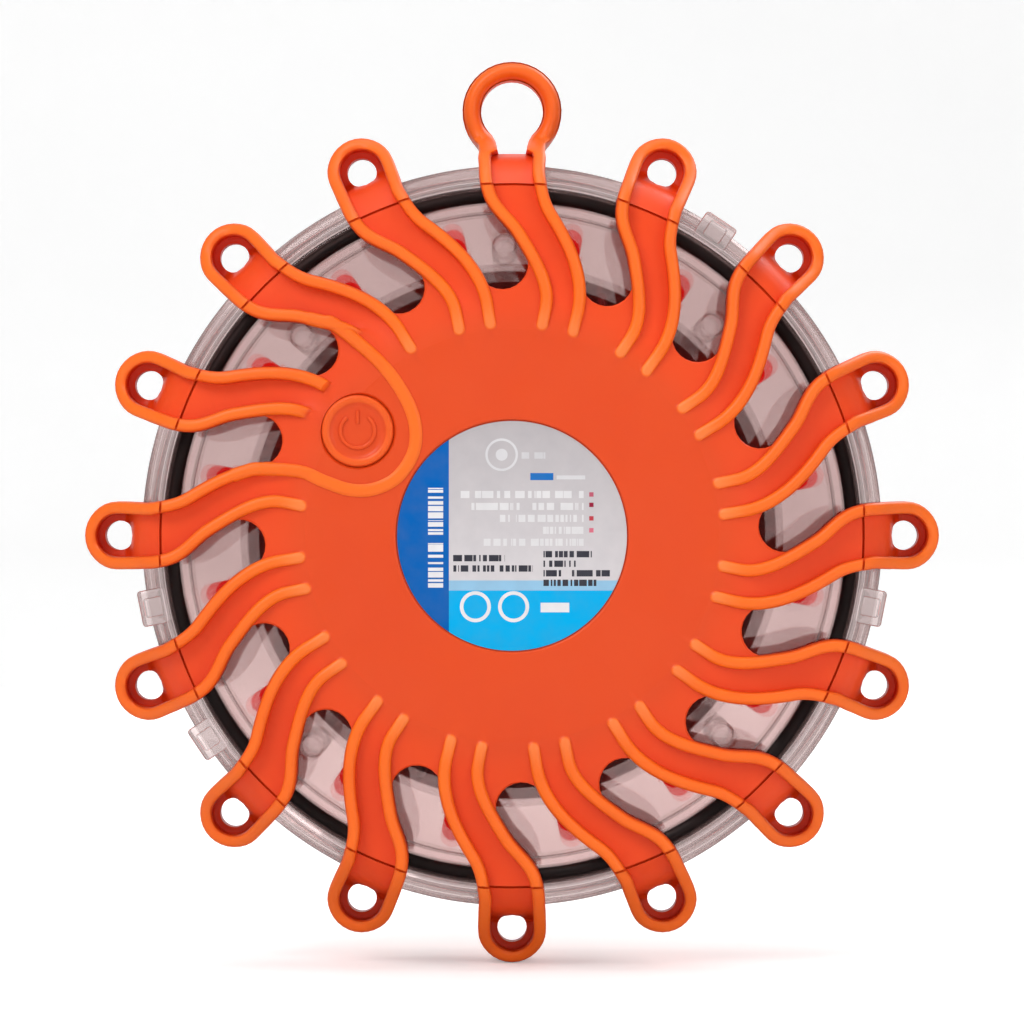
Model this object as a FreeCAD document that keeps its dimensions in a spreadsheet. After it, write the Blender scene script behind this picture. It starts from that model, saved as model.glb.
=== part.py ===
import FreeCAD, Part
import math
import os
import Sketcher

# LED safety flare: a round clear lamp with a soft orange grip on each face, sixteen swirling arms,
# a hang hook, a magnet in the back and a push button in the front.
# Local frame of every piece: the z axis runs from the magnet's outer face (z = 0) to the front face,
# x to the right seen from the front, y towards the hook. STAND turns it so that the hook points up.

V = FreeCAD.Vector
doc = FreeCAD.newDocument("led_safety_flare")
sheet = doc.addObject("Spreadsheet::Sheet", "Sizes")

# Driving dimensions, millimetres and degrees.
SIZES = (
    ("arm_count", 16, "arms round the lamp"),
    ("hook_arm", 4, "number of the arm that carries the hook, counted from the right"),
    ("tie_circle", 50.6, "radius on which the tie holes lie"),
    ("tip_round", 4.4, "radius of an arm's rounded tip"),
    ("tie_hole", 1.9, "radius of a tie hole"),
    ("half_tip", 4.4, "half width of an arm at its tip"),
    ("half_seam", 4.15, "half width of an arm at the seam"),
    ("half_waist", 3.15, "half width of an arm halfway in"),
    ("half_root", 2.8, "half width of an arm where it leaves the disc"),
    ("rib_width", 1.6, "width of a raised rib"),
    ("rib_inset", 0.06, "ledge between an arm's edge and its rib on the front grip"),
    ("swirl_angle", 12.4, "turn of an arm between rim and disc"),
    ("swirl_start", 46.0, "radius outside which the arms are straight"),
    ("swirl_end", 29.1, "radius inside which the arms turn no more"),
    ("rib_start", 25.9, "radius where the ribs rise from the disc"),
    ("waist_radius", 39.5, "radius of the arms' waist"),
    ("window_root", 31.1, "inner end of the windows between the arms"),
    ("window_side", 34.6, "radius where a window's straight side begins"),
    ("window_lead", 1.2, "angle by which a window's inner end leads the arm number"),
    ("disc_flat", 26.0, "radius of the flat disc"),
    ("face_drop", 2.6, "drop of the faces between disc and seam"),
    ("rib_drop", 0.8, "drop of the rib tops between disc and seam"),
    ("seam_radius", 44.4, "radius of the parting line between lid and cup"),
    ("seam_gap", 0.15, "half width of the parting line"),
    ("rim_radius", 47.1, "outside radius of the clear cup"),
    ("grip_rim", 48.4, "outside radius of the grip over the rim"),
    ("magnet_radius", 10.0, "magnet radius"),
    ("magnet_height", 5.0, "magnet height"),
    ("magnet_proud", 0.8, "height of the magnet above the rear grip"),
    ("grip_skin", 1.6, "thickness of the soft grips"),
    ("shell_wall", 2.0, "wall thickness of lid and cup"),
    ("mid_plane", 17.8, "height of the middle plane"),
    ("web_half", 1.5, "half thickness of the web in an arm's tip"),
    ("tip_half", 4.0, "half thickness of an arm's tip"),
    ("hook_centre", 54.7, "distance of the hook ring from the centre"),
    ("hook_outer", 6.4, "outside radius of the hook ring"),
    ("hook_hole", 4.0, "radius of the hook's hole"),
    ("hook_slot", 1.8, "half width of the slot below the hook's hole"),
    ("hook_slot_end", 49.1, "lowest point of the slot"),
    ("hook_neck", 4.6, "half width of the hook's neck"),
    ("hook_half", 3.4, "half thickness of the hook"),
    ("button_x", -19.4, "button position across"),
    ("button_y", 13.2, "button position up"),
    ("button_radius", 4.45, "radius of the button cap"),
    ("button_flange", 5.8, "radius of the flange that keeps the cap in"),
    ("button_gap", 0.15, "gap round the cap"),
    ("button_travel", 0.4, "travel of the button"),
    ("plunger_radius", 1.5, "radius of the plunger"),
    ("label_radius", 14.45, "radius of the label"),
    ("label_pocket", 0.35, "depth of the label's pocket"),
    ("label_thick", 0.2, "thickness of the label"),
    ("screw_x", 21.0, "distance of the cover screws from the centre"),
    ("screw_recess", 6.8, "radius of the recess round a screw head"),
    ("screw_head", 5.3, "radius of a screw head"),
    ("screw_head_top", 1.3, "height of a screw head's face"),
    ("screw_seat", 3.5, "height of the face under a screw head"),
    ("screw_shank", 2.0, "radius of a screw shank"),
    ("screw_end", 27.3, "height of a screw's end"),
    ("washer_radius", 4.9, "radius of a sealing washer"),
    ("washer_thick", 0.8, "thickness of a sealing washer"),
    ("post_radius", 3.6, "radius of the screw posts"),
    ("post_top", 22.6, "height where cup post and lid post meet"),
    ("insert_radius", 2.75, "radius of a brass insert"),
    ("insert_length", 6.0, "length of a brass insert"),
    ("insert_bore", 2.05, "bore radius of a brass insert"),
    ("seal_radius", 43.2, "centre radius of the O-ring"),
    ("seal_section", 0.8, "section radius of the O-ring"),
    ("skirt_radius", 42.4, "outside radius of the lid's skirt"),
    ("board_radius", 34.2, "radius of the circuit board"),
    ("board_low", 14.5, "height of the board's rear face"),
    ("board_thick", 1.6, "thickness of the board"),
    ("led_radius", 1.5, "radius of an LED"),
    ("led_tip", 40.2, "distance of the LED domes from the centre"),
    ("led_base", 35.2, "distance of the LED bases from the centre"),
    ("lead_half_gap", 1.27, "half distance between the legs of an LED"),
    ("lead_circle", 33.3, "radius on which the legs pass the board"),
    ("lead_size", 0.5, "thickness of a leg"),
    ("cell_radius", 5.25, "radius of an AAA cell"),
    ("cell_length", 44.5, "length of an AAA cell over its nub"),
    ("cell_pitch", 10.9, "distance between the cells"),
    ("cell_axis", 22.5, "height of the cells' axes"),
    ("holder_half_x", 16.9, "half width of the battery holder"),
    ("holder_half_y", 25.5, "half length of the battery holder"),
    ("holder_wall", 0.9, "end wall of the battery holder"),
    ("plate_thick", 0.4, "thickness of a contact plate"),
    ("plate_half", 4.2, "half width of a contact plate over one cell"),
    ("plate_drop", 4.6, "depth of a contact plate below the cells' axes"),
    ("plate_rise", 4.0, "height of a contact plate above the cells' axes"),
    ("nub_length", 1.0, "length of a cell's positive nub"),
    ("nub_radius", 1.9, "radius of a cell's positive nub"),
    ("spring_wire", 0.36, "radius of the contact springs' wire"),
    ("spring_small", 2.0, "radius of a contact spring's smallest coil"),
    ("cord_radius", 0.6, "radius of an insulated battery wire"),
    ("cord_bend", 2.0, "bend radius of the battery wires"),
    ("cord_reach", 2.4, "straight length of a battery wire before its bend"),
    ("cord_x", 11.4, "distance of the battery wires from the middle"),
    ("stand_radius", 29.0, "radius on which the board screws lie"),
    ("stand_size", 2.6, "radius of a board stand"),
    ("board_screw_head", 2.0, "radius of a board screw's head"),
    ("board_screw", 1.0, "radius of a board screw's shank"),
    ("peg_circle", 37.0, "radius on which the cup's pegs stand"),
    ("peg_radius", 1.65, "radius of a peg"),
    ("lug_half", 2.3, "half width of a lug on the rim"),
    ("cross_reach", 2.95, "half length of a screw's cross recess"),
    ("cross_half", 0.6, "half width of a screw's cross recess"),
    ("cross_depth", 1.7, "depth of a screw's cross recess"),
    ("switch_size", 4.5, "side of the push switch"),
    ("switch_height", 3.4, "height of the push switch"),
    ("stem_top", 20.6, "height of the switch stem's end"),
)

for row, (alias, number, meaning) in enumerate(SIZES, start=1):
    sheet.set(f"A{row}", meaning)
    sheet.set(f"B{row}", str(number))
    sheet.setAlias(f"B{row}", alias)
doc.recompute()

# Turns the local frame upright: local z becomes -Y (front) and local y becomes +Z (hook).
STAND = FreeCAD.Placement(V(0, 0, 0), FreeCAD.Rotation(V(1, 0, 0), 90))


def size(alias):
    """Value of one driving dimension."""
    return float(sheet.get(alias))


def value(expression):
    """Number that a sheet expression stands for."""
    result = sheet.evalExpression(expression)
    return float(getattr(result, "Value", result))


def place(item, x=0.0, y=0.0, turn=0.0):
    """Stand a piece upright, moved and turned in the plane of the faces."""
    shift = FreeCAD.Placement(V(x, y, 0), FreeCAD.Rotation(V(0, 0, 1), turn))
    item.Placement = STAND.multiply(shift)


# ---- sketches and features -------------------------------------------------------------------


def new_body(name):
    """Empty PartDesign body with its label."""
    body = doc.addObject("PartDesign::Body", name)
    body.Label = name
    return body


def new_sketch(body, name, role="XY_Plane", level="0"):
    """Sketch on one of the body's planes, raised by an expression."""
    sketch = body.newObject("Sketcher::SketchObject", name)
    plane = [item for item in body.Origin.OriginFeatures if item.Role == role][0]
    sketch.AttachmentSupport = (plane, [""])
    sketch.MapMode = "FlatFace"
    sketch.AttachmentOffset = FreeCAD.Placement(V(0, 0, value(level)), FreeCAD.Rotation())
    sketch.setExpression("AttachmentOffset.Base.z", level)
    return sketch


def bind(sketch, kind, geometry, vertex, expression):
    """Measure one coordinate of a vertex from the sketch origin."""
    spot = (-1, 1, geometry, vertex, value(expression))
    index = sketch.addConstraint(Sketcher.Constraint(kind, *spot))
    sketch.setExpression(f"Constraints[{index}]", expression)


def add_polygon(sketch, corners):
    """Closed polygon whose corners are pairs of sheet expressions."""
    first = sketch.GeometryCount
    count = len(corners)
    spots = [V(value(x), value(y), 0) for x, y in corners]
    for i in range(count):
        sketch.addGeometry(Part.LineSegment(spots[i], spots[(i + 1) % count]), False)
    for i in range(count):
        after = first + (i + 1) % count
        sketch.addConstraint(Sketcher.Constraint("Coincident", first + i, 2, after, 1))
    for i, (x, y) in enumerate(corners):
        bind(sketch, "DistanceX", first + i, 1, x)
        bind(sketch, "DistanceY", first + i, 1, y)


def add_circle(sketch, x, y, radius):
    """Circle given by sheet expressions."""
    centre = V(value(x), value(y), 0)
    index = sketch.addGeometry(Part.Circle(centre, V(0, 0, 1), value(radius)), False)
    bind(sketch, "DistanceX", index, 3, x)
    bind(sketch, "DistanceY", index, 3, y)
    rule = sketch.addConstraint(Sketcher.Constraint("Radius", index, value(radius)))
    sketch.setExpression(f"Constraints[{rule}]", radius)


def box_corners(x, y, half_x, half_y):
    """Corners of an upright rectangle round a centre."""
    return (
        (f"{x} - ({half_x})", f"{y} - ({half_y})"),
        (f"{x} + {half_x}", f"{y} - ({half_y})"),
        (f"{x} + {half_x}", f"{y} + {half_y}"),
        (f"{x} - ({half_x})", f"{y} + {half_y}"),
    )


def turn_profile(body, name, corners, role="XZ_Plane", axis="V_Axis", level="0", angle=360):
    """Solid of revolution of a polygon."""
    sketch = new_sketch(body, f"{name}_profile", role, level)
    add_polygon(sketch, corners)
    feature = body.newObject("PartDesign::Revolution", name)
    feature.Profile = sketch
    feature.ReferenceAxis = (sketch, [axis])
    feature.Angle = angle
    doc.recompute()
    return feature, sketch


def raise_circles(body, name, circles, low, high):
    """Pads of circles between two levels."""
    sketch = new_sketch(body, f"{name}_outline", "XY_Plane", low)
    for x, y, radius in circles:
        add_circle(sketch, x, y, radius)
    feature = body.newObject("PartDesign::Pad", name)
    feature.Profile = sketch
    feature.setExpression("Length", f"{high} - ({low})")
    doc.recompute()
    return feature, sketch


def raise_polygons(body, name, polygons, low, high):
    """Pads of polygons between two levels."""
    sketch = new_sketch(body, f"{name}_outline", "XY_Plane", low)
    for corners in polygons:
        add_polygon(sketch, corners)
    feature = body.newObject("PartDesign::Pad", name)
    feature.Profile = sketch
    feature.setExpression("Length", f"{high} - ({low})")
    doc.recompute()
    return feature, sketch


def sink(body, name, circles, polygons, low, high):
    """Pocket of circles and polygons between two levels."""
    before = body.Shape.Volume
    sketch = new_sketch(body, f"{name}_outline", "XY_Plane", low)
    for x, y, radius in circles:
        add_circle(sketch, x, y, radius)
    for corners in polygons:
        add_polygon(sketch, corners)
    feature = body.newObject("PartDesign::Pocket", name)
    feature.Profile = sketch
    feature.Reversed = True
    feature.setExpression("Length", f"{high} - ({low})")
    doc.recompute()
    if body.Shape.Volume > before - 1e-3:
        raise RuntimeError(f"{name} cuts nothing")
    return feature, sketch


def repeat_round(body, name, features, sketch, count):
    """Polar pattern round the lamp's axis."""
    pattern = body.newObject("PartDesign::PolarPattern", name)
    pattern.Originals = features
    pattern.Axis = (sketch, ["N_Axis"])
    pattern.Angle = 360
    pattern.setExpression("Occurrences", count)
    body.Tip = pattern
    doc.recompute()
    return pattern


def keep_shape(name, shape):
    """Piece whose shape follows a formula that sketches cannot carry."""
    item = doc.addObject("Part::Feature", name)
    item.Label = name
    item.Shape = shape
    place(item)
    return item


# ---- levels shared by several pieces ---------------------------------------------------------

GRIP_BACK = "Sizes.magnet_proud"
CUP_BACK = "Sizes.magnet_proud + Sizes.grip_skin"
CUP_FLOOR = "Sizes.magnet_proud + Sizes.grip_skin + Sizes.shell_wall"
GRIP_FRONT = "2 * Sizes.mid_plane - Sizes.magnet_proud"
LID_TOP = "2 * Sizes.mid_plane - Sizes.magnet_proud - Sizes.grip_skin"
LID_UNDER = "2 * Sizes.mid_plane - Sizes.magnet_proud - Sizes.grip_skin - Sizes.shell_wall"
BOARD_TOP = "Sizes.board_low + Sizes.board_thick"
PITCH = 360 / size("arm_count")
STAND_ANGLES = (45, 135, 225, 315)

# Outside of the clear cup from the back centre to the seam.
CUP_OUTSIDE = (
    ("0", CUP_BACK),
    ("Sizes.disc_flat", CUP_BACK),
    ("Sizes.seam_radius", f"{CUP_BACK} + Sizes.face_drop"),
    ("Sizes.rim_radius - 0.8", f"{CUP_BACK} + Sizes.face_drop + 1.2"),
    ("Sizes.rim_radius", f"{CUP_BACK} + Sizes.face_drop + 3"),
    ("Sizes.rim_radius", f"{LID_TOP} - Sizes.face_drop - 3"),
    ("Sizes.rim_radius - 0.6", f"{LID_TOP} - Sizes.face_drop - 1.4"),
    ("Sizes.rim_radius - 1.5", f"{LID_TOP} - Sizes.face_drop - 1.1"),
    ("Sizes.rim_radius - 1.9", f"{LID_TOP} - Sizes.face_drop"),
    ("Sizes.seam_radius + Sizes.seam_gap", f"{LID_TOP} - Sizes.face_drop"),
)


# ---- the swirling arms of the grips ----------------------------------------------------------


def smooth(t):
    """Ramp from 0 to 1 with level ends."""
    t = min(max(t, 0.0), 1.0)
    return t * t * (3 - 2 * t)


def arm_point(number, radius):
    """Middle line of an arm at a radius."""
    start = size("swirl_start")
    t = (start - radius) / (start - size("swirl_end"))
    angle = math.radians(number * PITCH - size("swirl_angle") * smooth(t))
    return V(radius * math.cos(angle), radius * math.sin(angle), 0)


def arm_half(radius):
    """Half width of an arm at a radius."""
    stations = (
        (size("rib_start"), size("half_root")),
        (size("waist_radius"), size("half_waist")),
        (size("seam_radius"), size("half_seam")),
        (size("tie_circle"), size("half_tip")),
    )
    for (r0, w0), (r1, w1) in zip(stations, stations[1:]):
        if radius <= r1:
            return w0 + (w1 - w0) * smooth((radius - r0) / (r1 - r0))
    return stations[-1][1]


def edge_point(number, radius, side, inset=0.0):
    """Point on an arm's edge; side +1 is the counter-clockwise one, inset moves it inwards."""
    step = 0.01
    spot = arm_point(number, radius)
    along = arm_point(number, radius + step) - arm_point(number, radius - step)
    along.normalize()
    normal = V(-along.y, along.x, 0)
    return spot + normal * (side * (arm_half(radius) - inset))


def edge_curve(number, side, inset, inner, outer, count=9):
    """Smooth curve along an arm's edge from the inner to the outer radius."""
    radii = [inner + (outer - inner) * i / (count - 1) for i in range(count)]
    spline = Part.BSplineCurve()
    spline.interpolate([edge_point(number, radius, side, inset) for radius in radii])
    return spline.toShape()


def tip_point(number, distance):
    """Point straight out along an arm."""
    angle = math.radians(number * PITCH)
    return V(distance * math.cos(angle), distance * math.sin(angle), 0)


def arc(start, middle, end):
    """Arc through three points."""
    return Part.Arc(start, middle, end).toShape()


def grip_outline():
    """Face of the disc with its arms and the open windows between them."""
    edges = []
    side_start = size("window_side")
    tip = size("tie_circle")
    for number in range(int(size("arm_count"))):
        right = edge_curve(number, -1, 0, side_start, tip)
        left = edge_curve(number, 1, 0, side_start, tip)
        nose = tip_point(number, tip + size("tip_round"))
        nose_arc = arc(edge_point(number, tip, -1), nose, edge_point(number, tip, 1))
        angle = math.radians(number * PITCH + size("window_lead"))
        root = V(math.cos(angle), math.sin(angle), 0) * size("window_root")
        window = arc(edge_point(number, side_start, 1), root, edge_point(number + 1, side_start, -1))
        edges += [right, nose_arc, left, window]
    return Part.Face(Part.Wire(Part.__sortEdges__(edges)))


def rib_outline(number, near):
    """Face of the two ribs of an arm, joined round its tip, set in from the arm's edge."""
    tip = size("tie_circle")
    start = size("rib_start")
    far = near + size("rib_width")
    nose = tip_point(number, tip + size("tip_round") - near)
    inner_nose = tip_point(number, tip + size("tip_round") - far)
    edges = [
        edge_curve(number, -1, near, start, tip),
        arc(edge_point(number, tip, -1, near), nose, edge_point(number, tip, 1, near)),
        edge_curve(number, 1, near, start, tip),
        Part.makeLine(edge_point(number, start, 1, near), edge_point(number, start, 1, far)),
        edge_curve(number, 1, far, start, tip),
        arc(edge_point(number, tip, 1, far), inner_nose, edge_point(number, tip, -1, far)),
        edge_curve(number, -1, far, start, tip),
        Part.makeLine(edge_point(number, start, -1, far), edge_point(number, start, -1, near)),
    ]
    return Part.Face(Part.Wire(Part.__sortEdges__(edges)))


def prism(face, low, high):
    """Face raised between two levels."""
    lifted = face.copy()
    lifted.translate(V(0, 0, low))
    return lifted.extrude(V(0, 0, high - low))


def turned(corners):
    """Solid of revolution round z of a closed polygon in radius and height."""
    spots = [V(radius, 0, level) for radius, level in corners]
    face = Part.Face(Part.makePolygon(spots + spots[:1]))
    return face.revolve(V(0, 0, 0), V(0, 0, 1), 360)


def rod(x, y, radius, low, high):
    """Upright cylinder between two levels."""
    return Part.makeCylinder(radius, high - low, V(x, y, low))


def ribbon(points, width):
    """Face of even width along a smooth line through points, with square ends."""
    line = Part.BSplineCurve()
    line.interpolate([V(x, y, 0) for x, y in points])
    first, last = line.FirstParameter, line.LastParameter
    steps = 4 * (len(points) - 1)
    sides = ([], [])
    for i in range(steps + 1):
        at = first + (last - first) * i / steps
        spot = line.value(at)
        along = line.tangent(at)[0]
        normal = V(-along.y, along.x, 0)
        sides[0].append(spot + normal * (width / 2))
        sides[1].append(spot - normal * (width / 2))
    edges = []
    for side in sides:
        curve = Part.BSplineCurve()
        curve.interpolate(side)
        edges.append(curve.toShape())
    edges.append(Part.makeLine(sides[0][0], sides[1][0]))
    edges.append(Part.makeLine(sides[0][-1], sides[1][-1]))
    return Part.Face(Part.Wire(Part.__sortEdges__(edges)))


grip_back = value(GRIP_BACK)
cup_back = value(CUP_BACK)
grip_front = value(GRIP_FRONT)
lid_top = value(LID_TOP)
full_height = 2 * size("mid_plane")
disc_flat = size("disc_flat")
seam = size("seam_radius")
gap = size("seam_gap")
face_drop = size("face_drop")
rib_drop = size("rib_drop")
rib_start = size("rib_start")
button_x = size("button_x")
button_y = size("button_y")
slope = face_drop / (seam - disc_flat)
outline = prism(grip_outline(), -2, full_height + 2)


def make_front_grip():
    """Soft front: flat disc, sloping arms up to the seam, ribs, label pocket and button hole."""
    edge = seam - gap
    drop = slope * (edge - disc_flat)
    base = outline.common(turned((
        (0, lid_top), (disc_flat, lid_top), (edge, lid_top - drop),
        (edge, grip_front - drop), (disc_flat, grip_front), (0, grip_front),
    )))
    rib_zone = turned((
        (rib_start, grip_front - 0.8), (edge, grip_front - drop - 0.8),
        (edge, grip_front - rib_drop), (36, grip_front - 0.2), (rib_start, grip_front - 0.02),
    ))
    # The wide rib zone lets the rib round the button rise from the flat disc.
    button_zone = turned((
        (12, grip_front - 0.8), (disc_flat, grip_front - 0.8), (edge, grip_front - drop - 0.8),
        (edge, grip_front - rib_drop), (36, grip_front - 0.2), (disc_flat, grip_front + 0.3),
        (12, grip_front + 0.3),
    ))
    near_button = (6, 7, 8)
    ribs = []
    for number in range(int(size("arm_count"))):
        if number not in near_button:
            ribs.append(prism(rib_outline(number, size("rib_inset")), 0, full_height).common(rib_zone))
    middle = size("rib_inset") + size("rib_width") / 2

    def rib_line(number, side, inner):
        radii = [inner + (edge + 1 - inner) * i / 6 for i in range(7)]
        points = [edge_point(number, radius, side, middle) for radius in radii]
        return [(point.x, point.y) for point in points]

    # One rib runs from the arm above the button, round the button, to the arm below it.
    around = [(-17.1, 21.4), (-13.8, 17.0), (-12.4, 13.1), (-12.7, 10.0),
              (-14.9, 6.7), (-19.3, 5.4), (-23.1, 6.2), (-27.0, 7.8)]
    above = rib_line(near_button[0], 1, 34.0)
    below = rib_line(near_button[2], -1, 32.5)
    lines = [
        above[::-1] + around + below,
        rib_line(near_button[0], -1, rib_start),
        rib_line(near_button[1], -1, 30.5),
        rib_line(near_button[1], 1, 30.5),
        rib_line(near_button[2], 1, rib_start),
    ]
    for points in lines:
        ribs.append(prism(ribbon(points, size("rib_width")), 0, full_height).common(button_zone))
    shape = base.multiFuse(ribs)
    pocket_floor = grip_front - size("label_pocket")
    shape = shape.cut(rod(0, 0, size("label_radius") + 0.15, pocket_floor, full_height))
    hole = size("button_radius") + size("button_gap")
    shape = shape.cut(rod(button_x, button_y, hole, lid_top - 3, full_height))
    flange_room = size("button_flange") + 0.3
    shape = shape.cut(rod(button_x, button_y, flange_room, lid_top - 3, lid_top))
    return keep_shape("front_grip", shape.removeSplitter())


def make_rear_grip():
    """Soft back: wraps over the rim, carries the tips and the hook."""
    rim = size("grip_rim")
    mid = size("mid_plane")
    web = size("web_half")
    reach = size("tie_circle") + size("tip_round") + 1
    start = seam + gap
    tip_half = size("tip_half")
    cup = [(value(r), value(level)) for r, level in CUP_OUTSIDE]
    outside = [
        (0, grip_back), (disc_flat, grip_back), (seam, grip_back + face_drop),
        (rim - 1.1, grip_back + face_drop + 3.4), (rim, grip_back + face_drop + 5.6),
        (rim, mid - web), (reach, mid - web), (reach, mid + web), (rim, mid + web),
        (rim, grip_front - face_drop - 5.6), (rim - 1.1, grip_front - face_drop - 3.0),
        (start, grip_front - face_drop),
    ]
    base = outline.common(turned(outside + cup[::-1]))
    # The ribs start inside the skin, and stay clear of the cup under it.
    rib_zone = turned((
        (rib_start, grip_back + 0.02), (36, grip_back + 0.2), (seam, grip_back + rib_drop),
        (rim - 1.4, grip_back + rib_drop + 2.2), (reach - 2.6, mid - tip_half),
        (reach, mid - tip_half + 0.3), (reach, mid + tip_half - 0.3), (reach - 2.6, mid + tip_half),
        (rim - 1.4, grip_front - rib_drop - 2.2), (start, grip_front - rib_drop),
        (start, grip_front - face_drop - 0.8), (rim - 1.9, grip_front - face_drop - 2.7),
        (rim - 0.5, grip_front - face_drop - 5.6), (rim - 0.5, grip_back + face_drop + 5.6),
        (rim - 2.0, grip_back + face_drop + 2.7), (seam, grip_back + face_drop + 0.8),
        (rib_start, grip_back + 0.8),
    ))
    pieces = []
    for number in range(int(size("arm_count"))):
        pieces.append(prism(rib_outline(number, 0), 0, full_height).common(rib_zone))
    # Hook: neck, ring and a keyhole through both.
    half = size("hook_half")
    neck = size("hook_neck")
    centre = size("hook_centre")
    low, high = mid - half, mid + half
    neck_start = size("rim_radius") + 0.5
    pieces.append(Part.makeBox(2 * neck, centre - neck_start, 2 * half, V(-neck, neck_start, low)))
    pieces.append(rod(0, centre, size("hook_outer"), low, high))
    shape = base.multiFuse(pieces)
    holes = []
    for number in range(int(size("arm_count"))):
        if number != int(size("hook_arm")):
            spot = tip_point(number, size("tie_circle"))
            holes.append(rod(spot.x, spot.y, size("tie_hole"), 0, full_height))
    slot = size("hook_slot")
    slot_low = size("hook_slot_end") + slot
    holes.append(rod(0, centre, size("hook_hole"), 0, full_height))
    holes.append(rod(0, slot_low, slot, 0, full_height))
    holes.append(Part.makeBox(2 * slot, centre - slot_low, full_height, V(-slot, slot_low, 0)))
    # The arm's ribs end where the ring begins, so the ring has one even thickness.
    holes.append(rod(0, centre, size("hook_outer"), high, full_height))
    holes.append(rod(0, centre, size("hook_outer"), 0, low))
    holes.append(rod(0, 0, size("magnet_radius") + 0.4, 0, cup_back + 0.5))
    for side in (-1, 1):
        x = side * size("screw_x")
        holes.append(rod(x, 0, size("screw_recess"), 0, grip_back + 0.9))
        holes.append(rod(x, 0, size("screw_head") + 0.3, 0, cup_back + 0.5))
    shape = shape.cut(holes)
    return keep_shape("rear_grip", shape.removeSplitter())


make_front_grip()
make_rear_grip()


# ---- clear lid and cup -----------------------------------------------------------------------


def make_front_cover():
    """Clear lid with a skirt, two screw posts and a guide for the plunger."""
    body = new_body("front_cover")
    drop = "Sizes.face_drop"
    edge = "Sizes.seam_radius - Sizes.seam_gap"
    skirt_in = "Sizes.skirt_radius - 1.4"
    seat = "Sizes.post_top + 6"
    fall = "Sizes.face_drop / (Sizes.seam_radius - Sizes.disc_flat)"
    corners = (
        ("0", LID_UNDER),
        ("Sizes.disc_flat", LID_UNDER),
        (skirt_in, f"{LID_UNDER} - {fall} * ({skirt_in} - Sizes.disc_flat)"),
        (skirt_in, f"{seat} - 3.2"),
        ("Sizes.skirt_radius", f"{seat} - 3.2"),
        ("Sizes.skirt_radius", seat),
        (edge, seat),
        (edge, f"{LID_TOP} - {fall} * ({edge} - Sizes.disc_flat)"),
        ("Sizes.disc_flat", LID_TOP),
        ("0", LID_TOP),
    )
    turn_profile(body, "lid", corners)
    posts = [("Sizes.screw_x", "0", "Sizes.post_radius"), ("-Sizes.screw_x", "0", "Sizes.post_radius")]
    raise_circles(body, "lid_posts", posts, "Sizes.post_top", f"{LID_UNDER} + 0.5")
    guide = [("Sizes.button_x", "Sizes.button_y", "Sizes.plunger_radius + 0.9")]
    raise_circles(body, "guide", guide, f"{LID_UNDER} - 4", f"{LID_UNDER} + 0.5")
    bores = [(x, y, "Sizes.insert_radius") for x, y, _ in posts]
    insert_top = "Sizes.post_top + Sizes.insert_length"
    sink(body, "insert_bores", bores, [], "Sizes.post_top", insert_top)
    bore = [("Sizes.button_x", "Sizes.button_y", "Sizes.plunger_radius + 0.06")]
    sink(body, "guide_bore", bore, [], f"{LID_UNDER} - 4", LID_TOP)
    pocket = [("Sizes.button_x", "Sizes.button_y", "Sizes.button_flange + 0.3")]
    sink(body, "flange_pocket", pocket, [], f"{LID_TOP} - 1", LID_TOP)
    place(body)


def polar_spot(angle, radius, across="0"):
    """Expressions for a point at an angle and a radius, moved sideways."""
    x = f"({radius}) * cos({angle} deg) - ({across}) * sin({angle} deg)"
    y = f"({radius}) * sin({angle} deg) + ({across}) * cos({angle} deg)"
    return x, y


def polar_circle(angle, radius, size_of, across="0"):
    """Circle at an angle and a radius."""
    return polar_spot(angle, radius, across) + (size_of,)


def polar_box(angle, inner, outer, half, across="0"):
    """Corners of a rectangle that points outwards at an angle."""
    return [
        polar_spot(angle, inner, f"{across} - ({half})"),
        polar_spot(angle, outer, f"{across} - ({half})"),
        polar_spot(angle, outer, f"{across} + {half}"),
        polar_spot(angle, inner, f"{across} + {half}"),
    ]


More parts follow.
